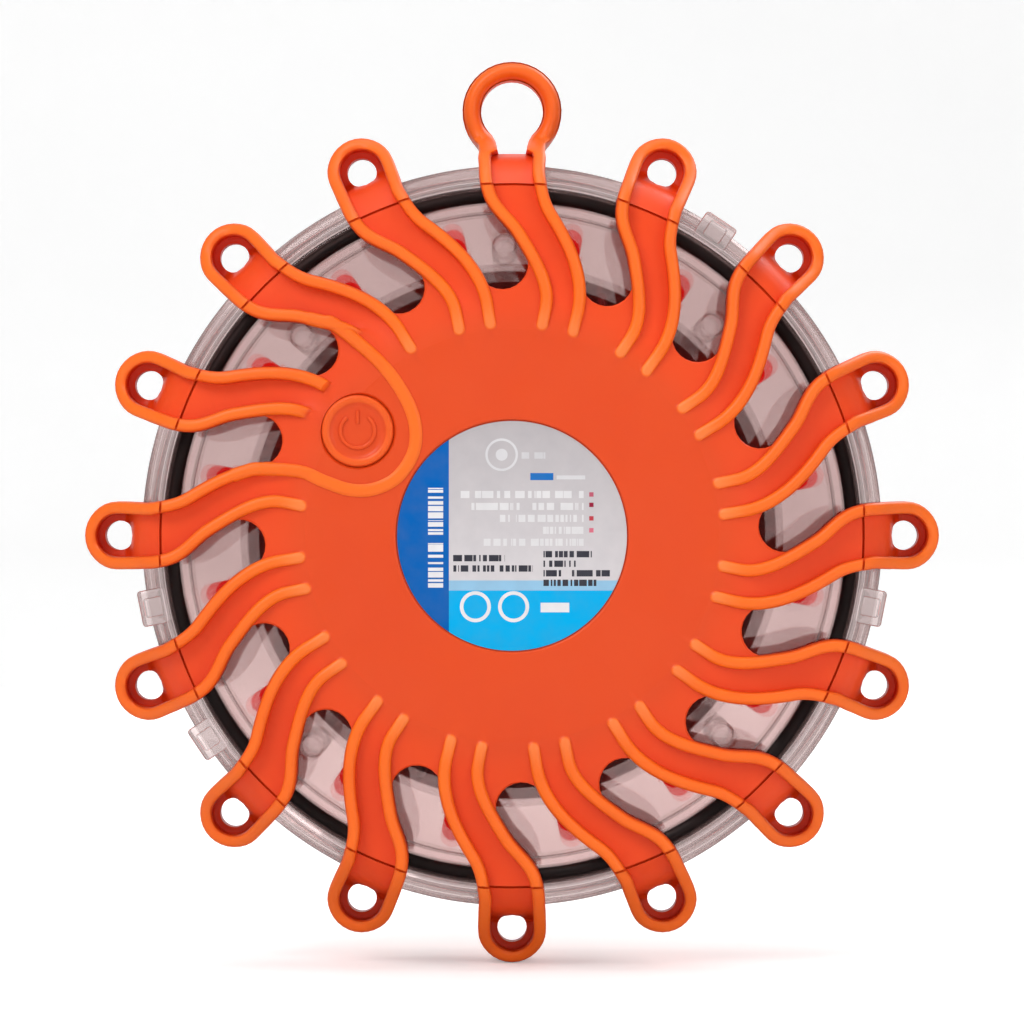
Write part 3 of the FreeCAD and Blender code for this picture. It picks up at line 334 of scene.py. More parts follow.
def even_normals(item):
    """Keep the broad faces of a clear piece flat, so that what lies behind isn't bent out of sight."""
    select(item)
    modify(item, "WEIGHTED_NORMAL", keep_sharp=True)


def paint(item, material, test):
    """Give the faces whose centre passes a test (in the lamp's own frame) another material."""
    item.data.materials.append(material)
    number = len(item.data.materials) - 1
    for face in item.data.polygons:
        if test(*own_frame(face.center)):
            face.material_index = number


# ---- Materials ----


def srgb(r, g, b):
    """Linear colour of three screen values from 0 to 255."""
    def channel(value):
        value /= 255.0
        return value / 12.92 if value <= 0.04045 else ((value + 0.055) / 1.055) ** 2.4
    return (channel(r), channel(g), channel(b), 1.0)


class Nodes:
    """Short helper for node materials."""

    def __init__(self, name):
        self.material = bpy.data.materials.new(name)
        self.material.use_nodes = True
        self.tree = self.material.node_tree
        self.tree.nodes.clear()
        self.out = self.tree.nodes.new("ShaderNodeOutputMaterial")

    def add(self, kind, places=None, **settings):
        """New node; settings are properties or named inputs, places are inputs by number."""
        node = self.tree.nodes.new(kind)
        for key, value in settings.items():
            if key in node.bl_rna.properties:
                setattr(node, key, value)
            else:
                self.feed(node.inputs[key.replace("_", " ")], value)
        for place, value in (places or {}).items():
            self.feed(node.inputs[place], value)
        return node

    def feed(self, socket, value):
        if isinstance(value, bpy.types.NodeSocket):
            self.tree.links.new(value, socket)
        else:
            socket.default_value = value

    def coords(self):
        return self.add("ShaderNodeTexCoord").outputs["Object"]

    def noise(self, scale, detail=3.0, vector=None, roughness=0.5):
        vector = self.coords() if vector is None else vector
        node = self.add("ShaderNodeTexNoise", Scale=scale, Detail=detail, Roughness=roughness, Vector=vector)
        return node.outputs["Fac"]

    def ramp(self, factor, low, high, start=0.3, end=0.7):
        node = self.add("ShaderNodeMapRange", Value=factor, From_Min=start, From_Max=end, To_Min=low,
                        To_Max=high)
        return node.outputs["Result"]

    def mix(self, factor, first, second):
        return self.add("ShaderNodeMix", {0: factor, 6: first, 7: second}, data_type="RGBA").outputs[2]

    def math(self, operation, first, second=0.0, clamp=False):
        node = self.add("ShaderNodeMath", {0: first, 1: second}, operation=operation, use_clamp=clamp)
        return node.outputs[0]

    def bump(self, height, strength, distance=0.0002):
        node = self.add("ShaderNodeBump", Strength=strength, Distance=distance, Height=height)
        return node.outputs["Normal"]

    def finish(self, shader):
        self.feed(self.out.inputs["Surface"], shader.outputs[0])

    def surface(self, color, roughness, normal=None, **more):
        """Principled surface; more holds its other inputs."""
        if normal is not None:
            more["Normal"] = normal
        self.finish(self.add("ShaderNodeBsdfPrincipled", Base_Color=color, Roughness=roughness, **more))


def soft_orange():
    """Soft overmould, satin with a fine moulding grain. Its colour holds painted light: redder in the
    channels as painted shade, brighter on the rib tops as a painted highlight, peach at the ribs' inner ends
    as a stronger painted highlight.
    """
    n = Nodes("soft_orange")
    tone = n.add("ShaderNodeAttribute", attribute_name="tone").outputs["Fac"]
    # Tone 0 to 0.5: from the channels' redder orange to the disc's own orange. The channels' orange is
    # painted shade, and it is a little brighter to offset the render's own shading there.
    color = n.mix(n.ramp(tone, 0.0, 1.0, 0.0, 0.5), srgb(244, 76, 19), srgb(230, 76, 22))
    # Tone 0.5 to 1: the rib tops' brighter orange, a painted highlight.
    color = n.mix(n.ramp(tone, 0.0, 1.0, 0.5, 1.0), color, srgb(255, 114, 25))
    # Tone above 1: the peach painted highlight on the ribs' inner ends.
    color = n.mix(n.ramp(tone, 0.0, 1.0, 1.0, 1.4), color, srgb(255, 150, 84))
    color = n.mix(n.ramp(n.noise(60.0), 0.0, 0.18), color, srgb(214, 50, 20))
    rough = n.ramp(n.noise(180.0, 6.0, roughness=0.7), 0.36, 0.5)
    grain = n.math("ADD", n.noise(2600.0, 2.0), n.noise(700.0, 4.0))
    n.surface(color, rough, n.bump(grain, 0.12, 0.00006), Specular_IOR_Level=0.34,
              Subsurface_Weight=0.1, Subsurface_Radius=(0.0012, 0.0004, 0.0002), Subsurface_Scale=1.0)
    return n.material


def clear_plastic():
    """Clear moulded plastic; lets light through to the parts inside."""
    n = Nodes("clear_plastic")
    wave = n.noise(90.0, 2.0)
    haze = n.ramp(n.noise(900.0), 0.04, 0.11)
    tint = n.mix(n.ramp(wave, 0.0, 1.0), (0.90, 0.83, 0.825, 1), (0.85, 0.77, 0.765, 1))
    glass = n.add("ShaderNodeBsdfGlass", IOR=1.46, Color=tint, Roughness=haze,
                  Normal=n.bump(wave, 0.05, 0.0004))
    clear = n.add("ShaderNodeBsdfTransparent", Color=(0.89, 0.81, 0.80, 1))
    rays = n.add("ShaderNodeLightPath")
    unbent = n.math("MAXIMUM", rays.outputs["Is Shadow Ray"], rays.outputs["Is Diffuse Ray"])
    share = n.math("MAXIMUM", unbent, 0.42)
    n.finish(n.add("ShaderNodeMixShader", {0: share, 1: glass.outputs[0], 2: clear.outputs[0]}))
    return n.material


def simple(name, first, second, rough, metallic=0.0, scale=200.0, bump=0.1):
    """Two-tone surface with mottled roughness and fine grain."""
    n = Nodes(name)
    cloud = n.noise(scale, 4.0)
    color = n.mix(n.ramp(cloud, 0.0, 1.0), srgb(*first), srgb(*second))
    normal = n.bump(n.noise(scale * 9), bump, 0.00005)
    n.surface(color, n.ramp(cloud, *rough), normal, Metallic=metallic)
    return n.material


ORANGE = soft_orange()
CLEAR = clear_plastic()
BLACK_RUBBER = simple("black_rubber", (22, 18, 18), (34, 26, 26), (0.35, 0.5))
WHITE_PLASTIC = simple("white_plastic", (225, 224, 220), (208, 206, 200), (0.35, 0.5))
BLACK_PLASTIC = simple("black_plastic", (26, 26, 28), (38, 38, 40), (0.3, 0.5))
HOLDER = simple("holder_plastic", (30, 30, 32), (42, 42, 44), (0.35, 0.55))
CERAMIC = simple("resistor_ceramic", (20, 20, 22), (40, 40, 44), (0.3, 0.45))
ZINC = simple("zinc_plate", (158, 172, 182), (130, 147, 158), (0.22, 0.42), 1.0, 500.0)
BRASS = simple("turned_brass", (214, 178, 96), (190, 150, 74), (0.2, 0.35), 1.0)
# Lighter, glossier zinc: a painted highlight on the screws' recess and head edge.
ZINC_HIGHLIGHT = simple("zinc_painted_highlight", (226, 226, 226), (196, 198, 202), (0.12, 0.28), 1.0, 900.0)
COPPER = simple("tinned_copper", (216, 150, 118), (196, 128, 100), (0.25, 0.4), 1.0, 400.0)
NICKEL = simple("nickel_plate", (226, 224, 218), (206, 205, 200), (0.12, 0.26), 1.0, 120.0, 0.04)
SPRING = simple("spring_wire", (205, 205, 205), (170, 170, 172), (0.2, 0.35), 1.0)
TIN = simple("tinned_wire", (205, 203, 198), (176, 174, 170), (0.2, 0.4), 1.0)
ALUMINIUM = simple("can_aluminium", (200, 201, 204), (180, 181, 184), (0.25, 0.4), 1.0)
RED_WIRE = simple("red_wire", (190, 24, 20), (166, 18, 16), (0.3, 0.45))
BLACK_WIRE = simple("black_wire", (24, 24, 25), (36, 36, 37), (0.3, 0.45))


def red_lens():
    """Clear red epoxy of the LEDs, with a faint painted glow that brightens the lenses."""
    n = Nodes("red_lens")
    wave = n.noise(400.0, 2.0)
    color = n.mix(n.ramp(wave, 0.0, 1.0), srgb(244, 24, 18), srgb(214, 14, 12))
    # The emission is a faint painted glow that brightens the red lenses.
    n.surface(color, n.ramp(wave, 0.08, 0.16), n.bump(wave, 0.05, 0.0001), Transmission_Weight=0.2,
              IOR=1.5, Emission_Color=srgb(255, 34, 26), Emission_Strength=0.35)
    return n.material


def board_mask_and_orange_bounce():
    """Solder mask with faint tracks: near black at the back; the red brown at the front is painted light, the
    orange of the soft grips bounced onto the board.
    """
    n = Nodes("board_mask_and_orange_bounce")
    coords = n.coords()
    depth = n.add("ShaderNodeSeparateXYZ", Vector=coords).outputs["Y"]
    tracks = n.add("ShaderNodeTexVoronoi", feature="DISTANCE_TO_EDGE", distance="CHEBYCHEV",
                   Vector=coords, Scale=240.0)
    line = n.ramp(tracks.outputs["Distance"], 1.0, 0.0, 0.02, 0.06)
    cloud = n.noise(300.0, 3.0, coords)
    back = n.mix(line, srgb(12, 20, 15), srgb(24, 42, 30))
    # The front's red brown is painted orange bounce light, not the mask's own colour.
    front = n.mix(line, srgb(128, 26, 18), srgb(164, 46, 34))
    color = n.mix(n.ramp(depth, 1.0, 0.0, -0.0158, -0.0152), back, front)
    color = n.mix(n.ramp(cloud, 0.0, 0.4), color, srgb(20, 12, 10))
    n.surface(color, n.ramp(cloud, 0.22, 0.38), n.bump(line, 0.3, 0.00005))
    return n.material


class Print:
    """Flat artwork in millimetres on a face of the lamp (x right, y towards the hook)."""

    def __init__(self, nodes, color):
        self.n = nodes
        self.color = color
        split = nodes.add("ShaderNodeSeparateXYZ", Vector=nodes.coords())
        self.x = nodes.math("MULTIPLY", split.outputs["X"], 1000.0)
        self.y = nodes.math("MULTIPLY", split.outputs["Z"], 1000.0)

    def lay(self, mask, color):
        self.color = self.n.mix(mask, self.color, srgb(*color))

    def within(self, number, low, high):
        above = self.n.math("GREATER_THAN", number, low)
        return self.n.math("MULTIPLY", above, self.n.math("LESS_THAN", number, high))

    def area(self, x0, x1, y0, y1):
        return self.n.math("MULTIPLY", self.within(self.x, x0, x1), self.within(self.y, y0, y1))

    def bar(self, x0, x1, y0, y1, color):
        self.lay(self.area(x0, x1, y0, y1), color)

    def dashes(self, x0, x1, middle, height, color, upright=False):
        """Row of uneven dashes where a label would carry its small print."""
        spread = self.n.add("ShaderNodeCombineXYZ", {0: self.y if upright else self.x, 1: middle * 7.3})
        solid = self.n.math("GREATER_THAN", self.n.noise(2.2, 1.0, spread.outputs[0]), 0.46)
        low, high = middle - height / 2, middle + height / 2
        area = self.area(low, high, x0, x1) if upright else self.area(x0, x1, low, high)
        self.lay(self.n.math("MULTIPLY", area, solid), color)

    def ring(self, x, y, inner, outer, color):
        dx = self.n.math("SUBTRACT", self.x, x)
        dy = self.n.math("SUBTRACT", self.y, y)
        square = self.n.math("ADD", self.n.math("MULTIPLY", dx, dx), self.n.math("MULTIPLY", dy, dy))
        self.lay(self.within(square, inner * inner, outer * outer), color)


def label_print():
    """Silver label with a blue strip, a cyan foot and plain marks in place of any text."""
    n = Nodes("label_print")
    art = Print(n, srgb(214, 209, 211))
    art.lay(n.ramp(art.y, 0.0, 1.0, -6.0, 14.0), (184, 178, 180))
    strip, foot, edge = -7.93, -6.87, 16.0
    white, silver, ink = (232, 230, 232), (214, 212, 214), (58, 58, 66)
    art.bar(strip, edge, foot, -5.6, (150, 196, 226))
    art.bar(strip, edge, -edge, foot, (0, 174, 234))
    art.bar(-edge, strip, -edge, edge, (4, 96, 178))
    for x0, middle in ((-7.2, 5.2), (-5.1, 3.7), (-1.6, 2.2), (3.9, 0.7), (-3.7, -0.8)):
        art.dashes(x0, 9.0, middle, 0.9, (222, 220, 221))
    for middle, color in ((5.2, (190, 90, 110)), (3.9, (150, 14, 50)), (2.2, (190, 60, 70)),
                          (0.7, (214, 110, 130))):
        art.bar(9.7, 10.25, middle - 0.28, middle + 0.28, color)
    for x0, x1, middle in ((-7.4, -0.9, -2.8), (-7.4, 2.6, -4.1), (3.95, 10.4, -2.3),
                           (3.95, 8.0, -3.5), (3.95, 12.3, -4.7), (3.95, 10.6, -5.9)):
        art.dashes(x0, x1, middle, 0.8, ink)
    art.dashes(-6.5, 6.2, -9.6, 1.9, white, upright=True)
    for inner, outer in ((1.75, 2.05), (0.0, 0.75)):
        art.ring(-1.3, 10.2, inner, outer, silver)
    art.dashes(1.2, 4.2, 10.1, 0.8, (206, 204, 206))
    art.bar(2.3, 5.2, 7.0, 7.9, (30, 110, 186))
    art.bar(5.6, 9.2, 7.1, 7.6, silver)
    for x in (-4.6, 0.2):
        art.ring(x, -8.9, 1.5, 1.95, white)
    art.bar(3.6, 7.2, -9.6, -8.4, white)
    cloud = n.noise(500.0, 4.0)
    art.lay(n.ramp(cloud, 0.0, 0.1), (120, 120, 130))
    n.surface(art.color, n.ramp(cloud, 0.3, 0.42), n.bump(cloud, 0.05, 0.00003), Specular_IOR_Level=0.06)
    return n.material


def printed_sleeve():
    """Plain printed sleeve of the cells: grey with a blue band and two thin light lines."""
    n = Nodes("cell_sleeve")
    art = Print(n, srgb(58, 62, 68))
    side, band, line = 20.0, 8.0, 0.6
    art.bar(-side, side, -band, band, (34, 74, 120))
    for low in (-band - line, band):
        art.bar(-side, side, low, low + line, (210, 212, 214))
    cloud = n.noise(300.0, 4.0)
    n.surface(art.color, n.ramp(cloud, 0.22, 0.34), n.bump(cloud, 0.08, 0.00005), Metallic=0.3)
    return n.material


RED_LENS = red_lens()
BOARD = board_mask_and_orange_bounce()
LABEL = label_print()
SLEEVE = printed_sleeve()

# ---- Shape of the swirling arms ----


def arm_point(number, r):
    """Point of an arm's middle line at a distance from the axis."""
    t = (SWIRL_START - r) / (SWIRL_START - SWIRL_END)
    return polar(r, number * PITCH - SWIRL_ANGLE * smooth(t))


def arm_half(r):
    """Half the width of an arm."""
    stations = ((RIB_START, 2.8), (39.5, 3.15), (SEAM, 4.15), (TIE_CIRCLE, TIP_ROUND))
    for (r0, w0), (r1, w1) in zip(stations, stations[1:]):
        if r <= r1:
            return lerp(w0, w1, smooth((r - r0) / (r1 - r0)))
    return stations[-1][1]


def across(number, side, u, radius):
    """Point at a distance from the axis, on column u of a rib (0 inner foot, 1 outer foot),
    or between the ribs when side is 0 (u from -1 to 1)."""
    r = radius
    for _ in range(8):
        half = arm_half(r)
        d = side * (half - RIB_WIDTH * (1 - u)) if side else u * (half - RIB_WIDTH)
        px, py = arm_point(number, r)
        nx, ny = plan_normal(arm_point(number, r - 0.01), arm_point(number, r + 0.01))
        x, y = px + nx * d, py + ny * d
        r += radius - math.hypot(x, y)
    return x, y


# Columns over an arm: the right rib from its outer foot in, the channel, the left rib out.
RIB_COLUMNS = (0.0, 0.04, 0.12, 0.25, 0.38, 0.5, 0.62, 0.75, 0.88, 0.96, 1.0)
RIB_ROUND = {0.04: 1.0, 0.12: 0.42, 0.25: 0.13, 0.38: 0.03, 0.5: 0.0, 0.62: 0.03, 0.75: 0.13,
             0.88: 0.42, 0.96: 1.0}
CHANNEL_COLUMNS = (-0.6, 0.0, 0.6)
COLUMNS = [(-1, u) for u in RIB_COLUMNS[::-1]] + [(0, u) for u in CHANNEL_COLUMNS]
COLUMNS += [(1, u) for u in RIB_COLUMNS]

# Distances from the axis at which the arms have a row of points, from the disc to the windows.
ROWS_IN = [RIB_START + step for step in (0.0, 0.12, 0.25, 0.4, 0.6, 0.85, 1.2, 1.6)]
ROWS_IN += [lerp(28.0, WINDOW_SIDE - 0.25, i / 11) for i in range(12)] + [WINDOW_SIDE]

# Ribs near the button stop early, because one rib runs round the button instead:
# (arm, side): (where the rib begins, over what length it rises).
SHORT_RIBS = {(6, 1): (31.5, 2.0), (7, -1): (29.6, 0.8), (7, 1): (30.0, 0.6), (8, -1): (30.5, 2.0)}


def cone_level(radius):
    """Height of the front face between the ribs (mirror it for the back)."""
    points = ((DISC_FLAT, FACE), (SEAM, FACE - CONE_DROP), (46.0, 30.9), (CUP_RIM, 29.3), (48.0, 27.4),
              (48.4, 25.6), (48.8, 22.2), (49.2, 20.2), (49.6, 19.4), (50.0, TIP_FLOOR))
    return table(points, radius)


def rib_level(radius):
    """Height of the rib tops."""
    points = ((RIB_START, FACE), (26.3, FACE + 0.24), (26.9, FACE + 0.34), (30.0, FACE + 0.3),
              (36.0, FACE + 0.05), (SEAM, FACE - 0.8), (46.0, 32.7), (CUP_RIM, 31.3), (49.0, 28.3),
              (51.5, 24.6), (53.4, 22.3), (54.4, 21.9), (56.0, 21.8))
    return table(points, radius)


def cup_front(radius):
    """Clear surface under the front of the grips."""
    points = ((DISC_FLAT, LID_TOP), (SEAM, LID_TOP - CONE_DROP), (45.2, 30.6), (45.6, 29.5), (46.5, 29.2),
              (CUP_RIM, RIM_FRONT))
    return table(points, radius)


def channel_depth(radius):
    """How far the channel between an arm's ribs lies under the ground; it runs out at both ends."""
    return 0.35 * smooth((radius - 27.0) / 6.0) * smooth((49.5 - radius) / 3.0)


def surface_level(side, u, radius, gain=1.0):
    """Front height at a column and a distance from the axis; gain is how far the rib stands out."""
    ground = cone_level(radius)
    if side == 0:
        return ground - channel_depth(radius) * gain
    foot = ground - (channel_depth(radius) * gain if u < 0.5 else 0.0)
    if u in (0.0, 1.0):
        return foot
    # A rib's start is round in plan: its sides begin further out than its middle.
    start = 0.6 * (2 * u - 1) ** 2 * smooth((28.5 - radius) / 1.5)
    top = lerp(ground, max(rib_level(radius - start), ground), gain)
    rounding = min(0.6, 0.85 * max(top - ground, 0.0))
    return max(top - rounding * RIB_ROUND[u], foot)


def disc_edge(number):
    """Points on the disc's edge between an arm and the next one."""
    left = across(number, 1, 1.0, RIB_START)
    right = across(number + 1, -1, 1.0, RIB_START)
    start = math.degrees(math.atan2(left[1], left[0]))
    sweep = (math.degrees(math.atan2(right[1], right[0])) - start) % 360
    return arc(RIB_START, start, sweep, WEB_COUNT)


def arc_through(a, middle, b, count):
    """Points on the circle through three points, from a to b."""
    (ax, ay), (bx, by), (cx, cy) = a, middle, b
    aa, bb, cc = ax * ax + ay * ay, bx * bx + by * by, cx * cx + cy * cy
    d = 2 * (ax * (by - cy) + bx * (cy - ay) + cx * (ay - by))
    ux = (aa * (by - cy) + bb * (cy - ay) + cc * (ay - by)) / d
    uy = (aa * (cx - bx) + bb * (ax - cx) + cc * (bx - ax)) / d
    radius = math.hypot(ax - ux, ay - uy)
    start = math.atan2(ay - uy, ax - ux)
    passing, end = ((math.atan2(y - uy, x - ux) - start) % (2 * math.pi) for x, y in (middle, b))
    if passing > end:
        end -= 2 * math.pi
    angles = [start + end * i / count for i in range(count + 1)]
    return [(ux + radius * math.cos(angle), uy + radius * math.sin(angle)) for angle in angles]


class Skin(Faces):
    """One face of a grip: vertices with a plan position and a height, mirrored for the back."""

    def __init__(self, builder, back=False, short_ribs=()):
        super().__init__()
        self.builder = builder
        self.back = back
        self.short_ribs = short_ribs

    def vert(self, x, y, level):
        return self.builder.vert(x, y, FULL - level if self.back else level)

    def arm_vert(self, number, along, offset, level):
        """Vertex at a place along an arm's straight tip and across it."""
        return self.vert(*turned((along, offset), number * PITCH), level)

    def gain(self, number, side, radius):
        if (number, side) not in self.short_ribs:
            return 1.0
        begin, length = self.short_ribs[number, side]
        return smooth((radius - begin) / length)

    def arm_row(self, number, radius, drop=0.0):
        """Row of vertices across an arm."""
        row = []
        for side, u in COLUMNS:
            level = surface_level(side, u, radius, self.gain(number, side, radius))
            row.append(self.vert(*across(number, side, u, radius), level - drop))
        return row

    def inner_arms(self):
        """Arms and the web between them, from the disc to where the windows open."""
        for number in range(ARMS):
            self.grid([self.arm_row(number, radius) for radius in ROWS_IN])
            self.web(number)

    def web(self, number):
        """Sheet between an arm and the next: blends its four borders, and shares the arms' edges."""
        left = [across(number, 1, 1.0, radius) for radius in ROWS_IN]
        right = [across(number + 1, -1, 1.0, radius) for radius in ROWS_IN]
        low = disc_edge(number)
        root = polar(WINDOW_ROOT, number * PITCH + WINDOW_LEAD)
        high = arc_through(left[-1], root, right[-1], WEB_COUNT)
        rows = []
        for i, radius in enumerate(ROWS_IN):
            t = (radius - RIB_START) / (WINDOW_SIDE - RIB_START)
            row = [self.vert(*left[i], cone_level(radius))]
            for j in range(1, WEB_COUNT):
                f = j / WEB_COUNT
                spot = []
                for c in (0, 1):
                    value = (1 - f) * left[i][c] + f * right[i][c] + (1 - t) * low[j][c] + t * high[j][c]
                    value -= (1 - t) * ((1 - f) * low[0][c] + f * low[-1][c])
                    value -= t * ((1 - f) * high[0][c] + f * high[-1][c])
                    spot.append(value)
                lip = 0.24 if radius == WINDOW_SIDE else 0.0
                row.append(self.vert(*spot, cone_level(math.hypot(*spot)) - lip))
            row.append(self.vert(*right[i], cone_level(radius)))
            rows.append(row)
        self.grid(rows)

    def disc(self, rings):
        """Flat disc inside the arms; rings are (radius, height) from the outside in."""
        spots = []
        for number in range(ARMS):
            spots += [across(number, side, u, RIB_START) for side, u in COLUMNS]
            spots += disc_edge(number)[1:-1]
        rows = []
        for radius, level in rings:
            rows.append([self.vert(x * radius / RIB_START, y * radius / RIB_START, level) for x, y in spots])
        self.grid(rows, closed=True)
        return rows[-1]

    def under(self, v):
        """Vertex on the clear surface under (or, at the back, over) another one."""
        x, y, _ = self.builder.points[v]
        return self.vert(x, y, cup_front(math.hypot(x, y)))

    def bottoms(self):
        """Repeat every face that lies over the clear parts on their surface."""
        for face in self.faces:
            radii = [math.hypot(*self.builder.points[v][:2]) for v in face]
            if max(radii) <= CUP_RIM + NEAR:
                self.builder.face([self.under(v) for v in face][::-1])

    def wall(self, a, b):
        """Wall from an open edge down to the clear surface."""
        self.builder.face((a, b, self.under(b), self.under(a)))

    def rim_edges(self):
        """Edges that belong to one face only."""
        uses = {}
        for face in self.faces:
            for a, b in zip(face, face[1:] + face[:1]):
                key = (min(a, b), max(a, b))
                uses[key] = uses.get(key, 0) + 1
        return [edge for edge, count in uses.items() if count == 1]


def swept_rib(builder, path, level, width=1.6, sink=0.5):
    """Rounded rib laid along a plan path; level(x, y) gives ground and top heights."""
    rounding = ((-0.92, 0.75), (-0.7, 0.25), (-0.35, 0.05), (0.0, 0.0), (0.35, 0.05), (0.7, 0.25),
                (0.92, 0.75))
    rows = []
    for i, (x, y) in enumerate(path):
        nx, ny = plan_normal(path[max(i - 1, 0)], path[min(i + 1, len(path) - 1)])
        ground, top = level(x, y)
        soft = min(0.6, 0.9 * (top - ground))
        section = [(-1.0, ground - sink)] + [(d, top - soft * drop) for d, drop in rounding]
        section.append((1.0, ground - sink))
        rows.append([builder.vert(x + nx * d * width / 2, y + ny * d * width / 2, z) for d, z in section])
    builder.grid(rows)
    builder.cap(rows)


def curve_through(points, steps=8):
    """Catmull-Rom curve through plan points."""
    result = []
    padded = [points[0]] + list(points) + [points[-1]]
    for i in range(1, len(padded) - 2):
        p0, p1, p2, p3 = padded[i - 1:i + 3]
        for j in range(steps):
            t = j / steps
            spot = []
            for c in (0, 1):
                spot.append(0.5 * (2 * p1[c] + (p2[c] - p0[c]) * t
                                   + (2 * p0[c] - 5 * p1[c] + 4 * p2[c] - p3[c]) * t * t
                                   + (3 * p1[c] - p0[c] - 3 * p2[c] + p3[c]) * t ** 3))
            result.append(tuple(spot))
    result.append(points[-1])
    return result


def store_tone(item, disc_tone=0.5, lowest=0.0, highest=2.0):
    """Keep how far each point stands between the channels' floor (0) and the rib tops (1); the soft orange
    turns this into painted shade in the channels and a painted highlight on the ribs. On the disc the tone is
    disc_tone, and the ribs' inner ends go a little above 1, into a stronger painted highlight."""
    layer = item.data.attributes.new("tone", "FLOAT", "POINT")
    for vertex in item.data.vertices:
        x, y, z = own_frame(vertex.co)
        radius = math.hypot(x, y)
        height = max(z, FULL - z)
        ground = cone_level(radius) - channel_depth(radius)
        value = clamp((height - ground) / max(rib_level(radius) - ground, 0.3))
        # The hook's ring gets the rib tops' painted highlight.
        if y > TIE_CIRCLE - 1.0 and abs(x) < HOOK_OUT + 1:
            value = max(value, 0.9)    # the hook's ring has no channel
        if disc_tone is not None:
            value = lerp(disc_tone, value, smooth((radius - DISC_FLAT) / 5.0))
            # Rib crowns near the disc rise towards tip_highlight: the peach painted highlight on the ribs'
            # inner ends.
            crown = clamp((height - cone_level(radius) - 0.04) / 0.2) * smooth((37.0 - radius) / 4.0)
            if crown > 0:
                tip_highlight = 1.0 + 0.2 * smooth((30.5 - radius) / 4.5)
                value = max(value, lerp(disc_tone, tip_highlight, crown))
        layer.data[vertex.index].value = clamp(value, lowest, highest)


# ---- Soft grips ----


def front_grip():
    """Front overmould with the label's pocket and the button's well."""
    builder = Builder()
    skin = Skin(builder, short_ribs=SHORT_RIBS)
    skin.inner_arms()
    edge = SEAM - SEAM_GAP
    rows_out = [WINDOW_SIDE + (edge - WINDOW_SIDE) * i / 18 for i in range(19)]
    for number in range(ARMS):
        skin.grid([skin.arm_row(number, radius) for radius in rows_out])
    wall = LABEL_R + 0.15
    pocket = FACE - 0.35
    rings = [(RIB_START, FACE)] + [(radius, FACE) for radius in (24.0, 20.0, 17.0, 15.0, wall + 0.2)]
    rings += [(wall + 0.05, FACE - 0.08), (wall, FACE - 0.2), (wall, pocket), (9.0, pocket), (4.0, pocket)]
    skin.face(skin.disc(rings))
    builder.faces += skin.faces
    skin.bottoms()
    for a, b in skin.rim_edges():
        skin.wall(a, b)
    item = builder.done("front_grip_soft", ORANGE, "cover", "front_grip", "orange_soft", 38)
    hole = BUTTON_R + 0.15
    well = ((hole, 25.0), (hole, FACE - 0.28), (hole + 0.28, FACE + 0.02), (hole + 0.3, 38.0))
    combine(item, lathed(well, *BUTTON))
    store_tone(item)


def button_surround():
    """The rib round the button, joined to the arms above and below it."""
    upper = [across(6, 1, 0.5, radius) for radius in (37.5, 36.0, 34.5)]
    lower = [across(8, -1, 0.5, radius) for radius in (33.0, 34.5, 36.0)]
    around = [(-17.1, 22.3), (-14.1, 18.6), (-12.3, 14.6), (-12.3, 10.8), (-14.3, 7.5), (-17.3, 5.9),
              (-20.4, 5.8), (-23.7, 6.9), (-26.7, 8.1)]

    def level(x, y):
        radius = math.hypot(x, y)
        ground = cone_level(radius)
        return ground, max(rib_level(radius) - 0.03, ground + 0.34)

    builder = Builder()
    swept_rib(builder, curve_through(upper + around + lower), level, 1.75)
    item = builder.done("button_surround_rib", ORANGE, "cover", "front_grip", "orange_soft", 38)
    # The rib round the button is painted in the rib tops' brighter orange, a painted highlight.
    store_tone(item, None, 0.95)


def tip_stations(hook):
    """Pairs of inner and outer points round an arm's nose, in the arm's own frame, right side first."""
    if hook:
        side = [((48.2, -2.7), (48.2, -4.35)), ((48.7, -2.55), (48.7, -4.3)), ((49.1, -1.75), (49.3, -4.28)),
                ((49.5, -1.85), (49.9, -4.32)), ((50.2, -1.95), (50.5, -4.6)), ((50.9, -2.15), (51.0, -5.05))]
        centre, inner, outer = HOOK_CENTRE, HOOK_IN, HOOK_OUT
        reach, steps, spread = 140, 28, 0.98
    else:
        halves = [(along, arm_half(along)) for along in (48.2, 49.0, 49.8)]
        side = [((along, -(half - RIB_WIDTH)), (along, -half)) for along, half in halves]
        centre, inner, outer = TIE_CIRCLE, TIP_ROUND - RIB_WIDTH, TIP_ROUND
        reach, steps, spread = 90, 16, 1.0
    nose = []
    for i in range(steps + 1):
        angle = -reach + 2 * reach * i / steps
        ix, iy = polar(inner, angle)
        ox, oy = polar(outer, angle * spread)
        nose.append(((centre + ix, iy), (centre + ox, oy)))
    mirrored = [((ix, -iy), (ox, -oy)) for (ix, iy), (ox, oy) in side[::-1]]
    return side + nose + mirrored


def nose_level(u, radius, hook):
    """Height of the nose ribs of the tips and of the hook's ring."""
    if u in (0.0, 1.0):
        return cone_level(radius)
    if not hook:
        return max(rib_level(radius) - 0.7 * RIB_ROUND[u], TIP_FLOOR)
    ring_top = FULL / 2 + 3.3
    top = lerp(rib_level(radius), ring_top, smooth((radius - 48.6) / 3.6))
    rounding = lerp(0.7, 2.2, smooth((radius - 49.5) / 4))
    return max(top - rounding * RIB_ROUND[u], HOOK_FLOOR)


def straight_end(skin, number, first, last):
    """Last row of an arm's straight part, square across it, from its first to its last station."""
    row = []
    for side, u in COLUMNS:
        if side:
            along, offset = between(*(first if side < 0 else last), u)
        else:
            along, offset = first[0][0], u * abs(first[0][1])
        row.append(skin.arm_vert(number, along, offset, surface_level(side, u, math.hypot(along, offset))))
    return row


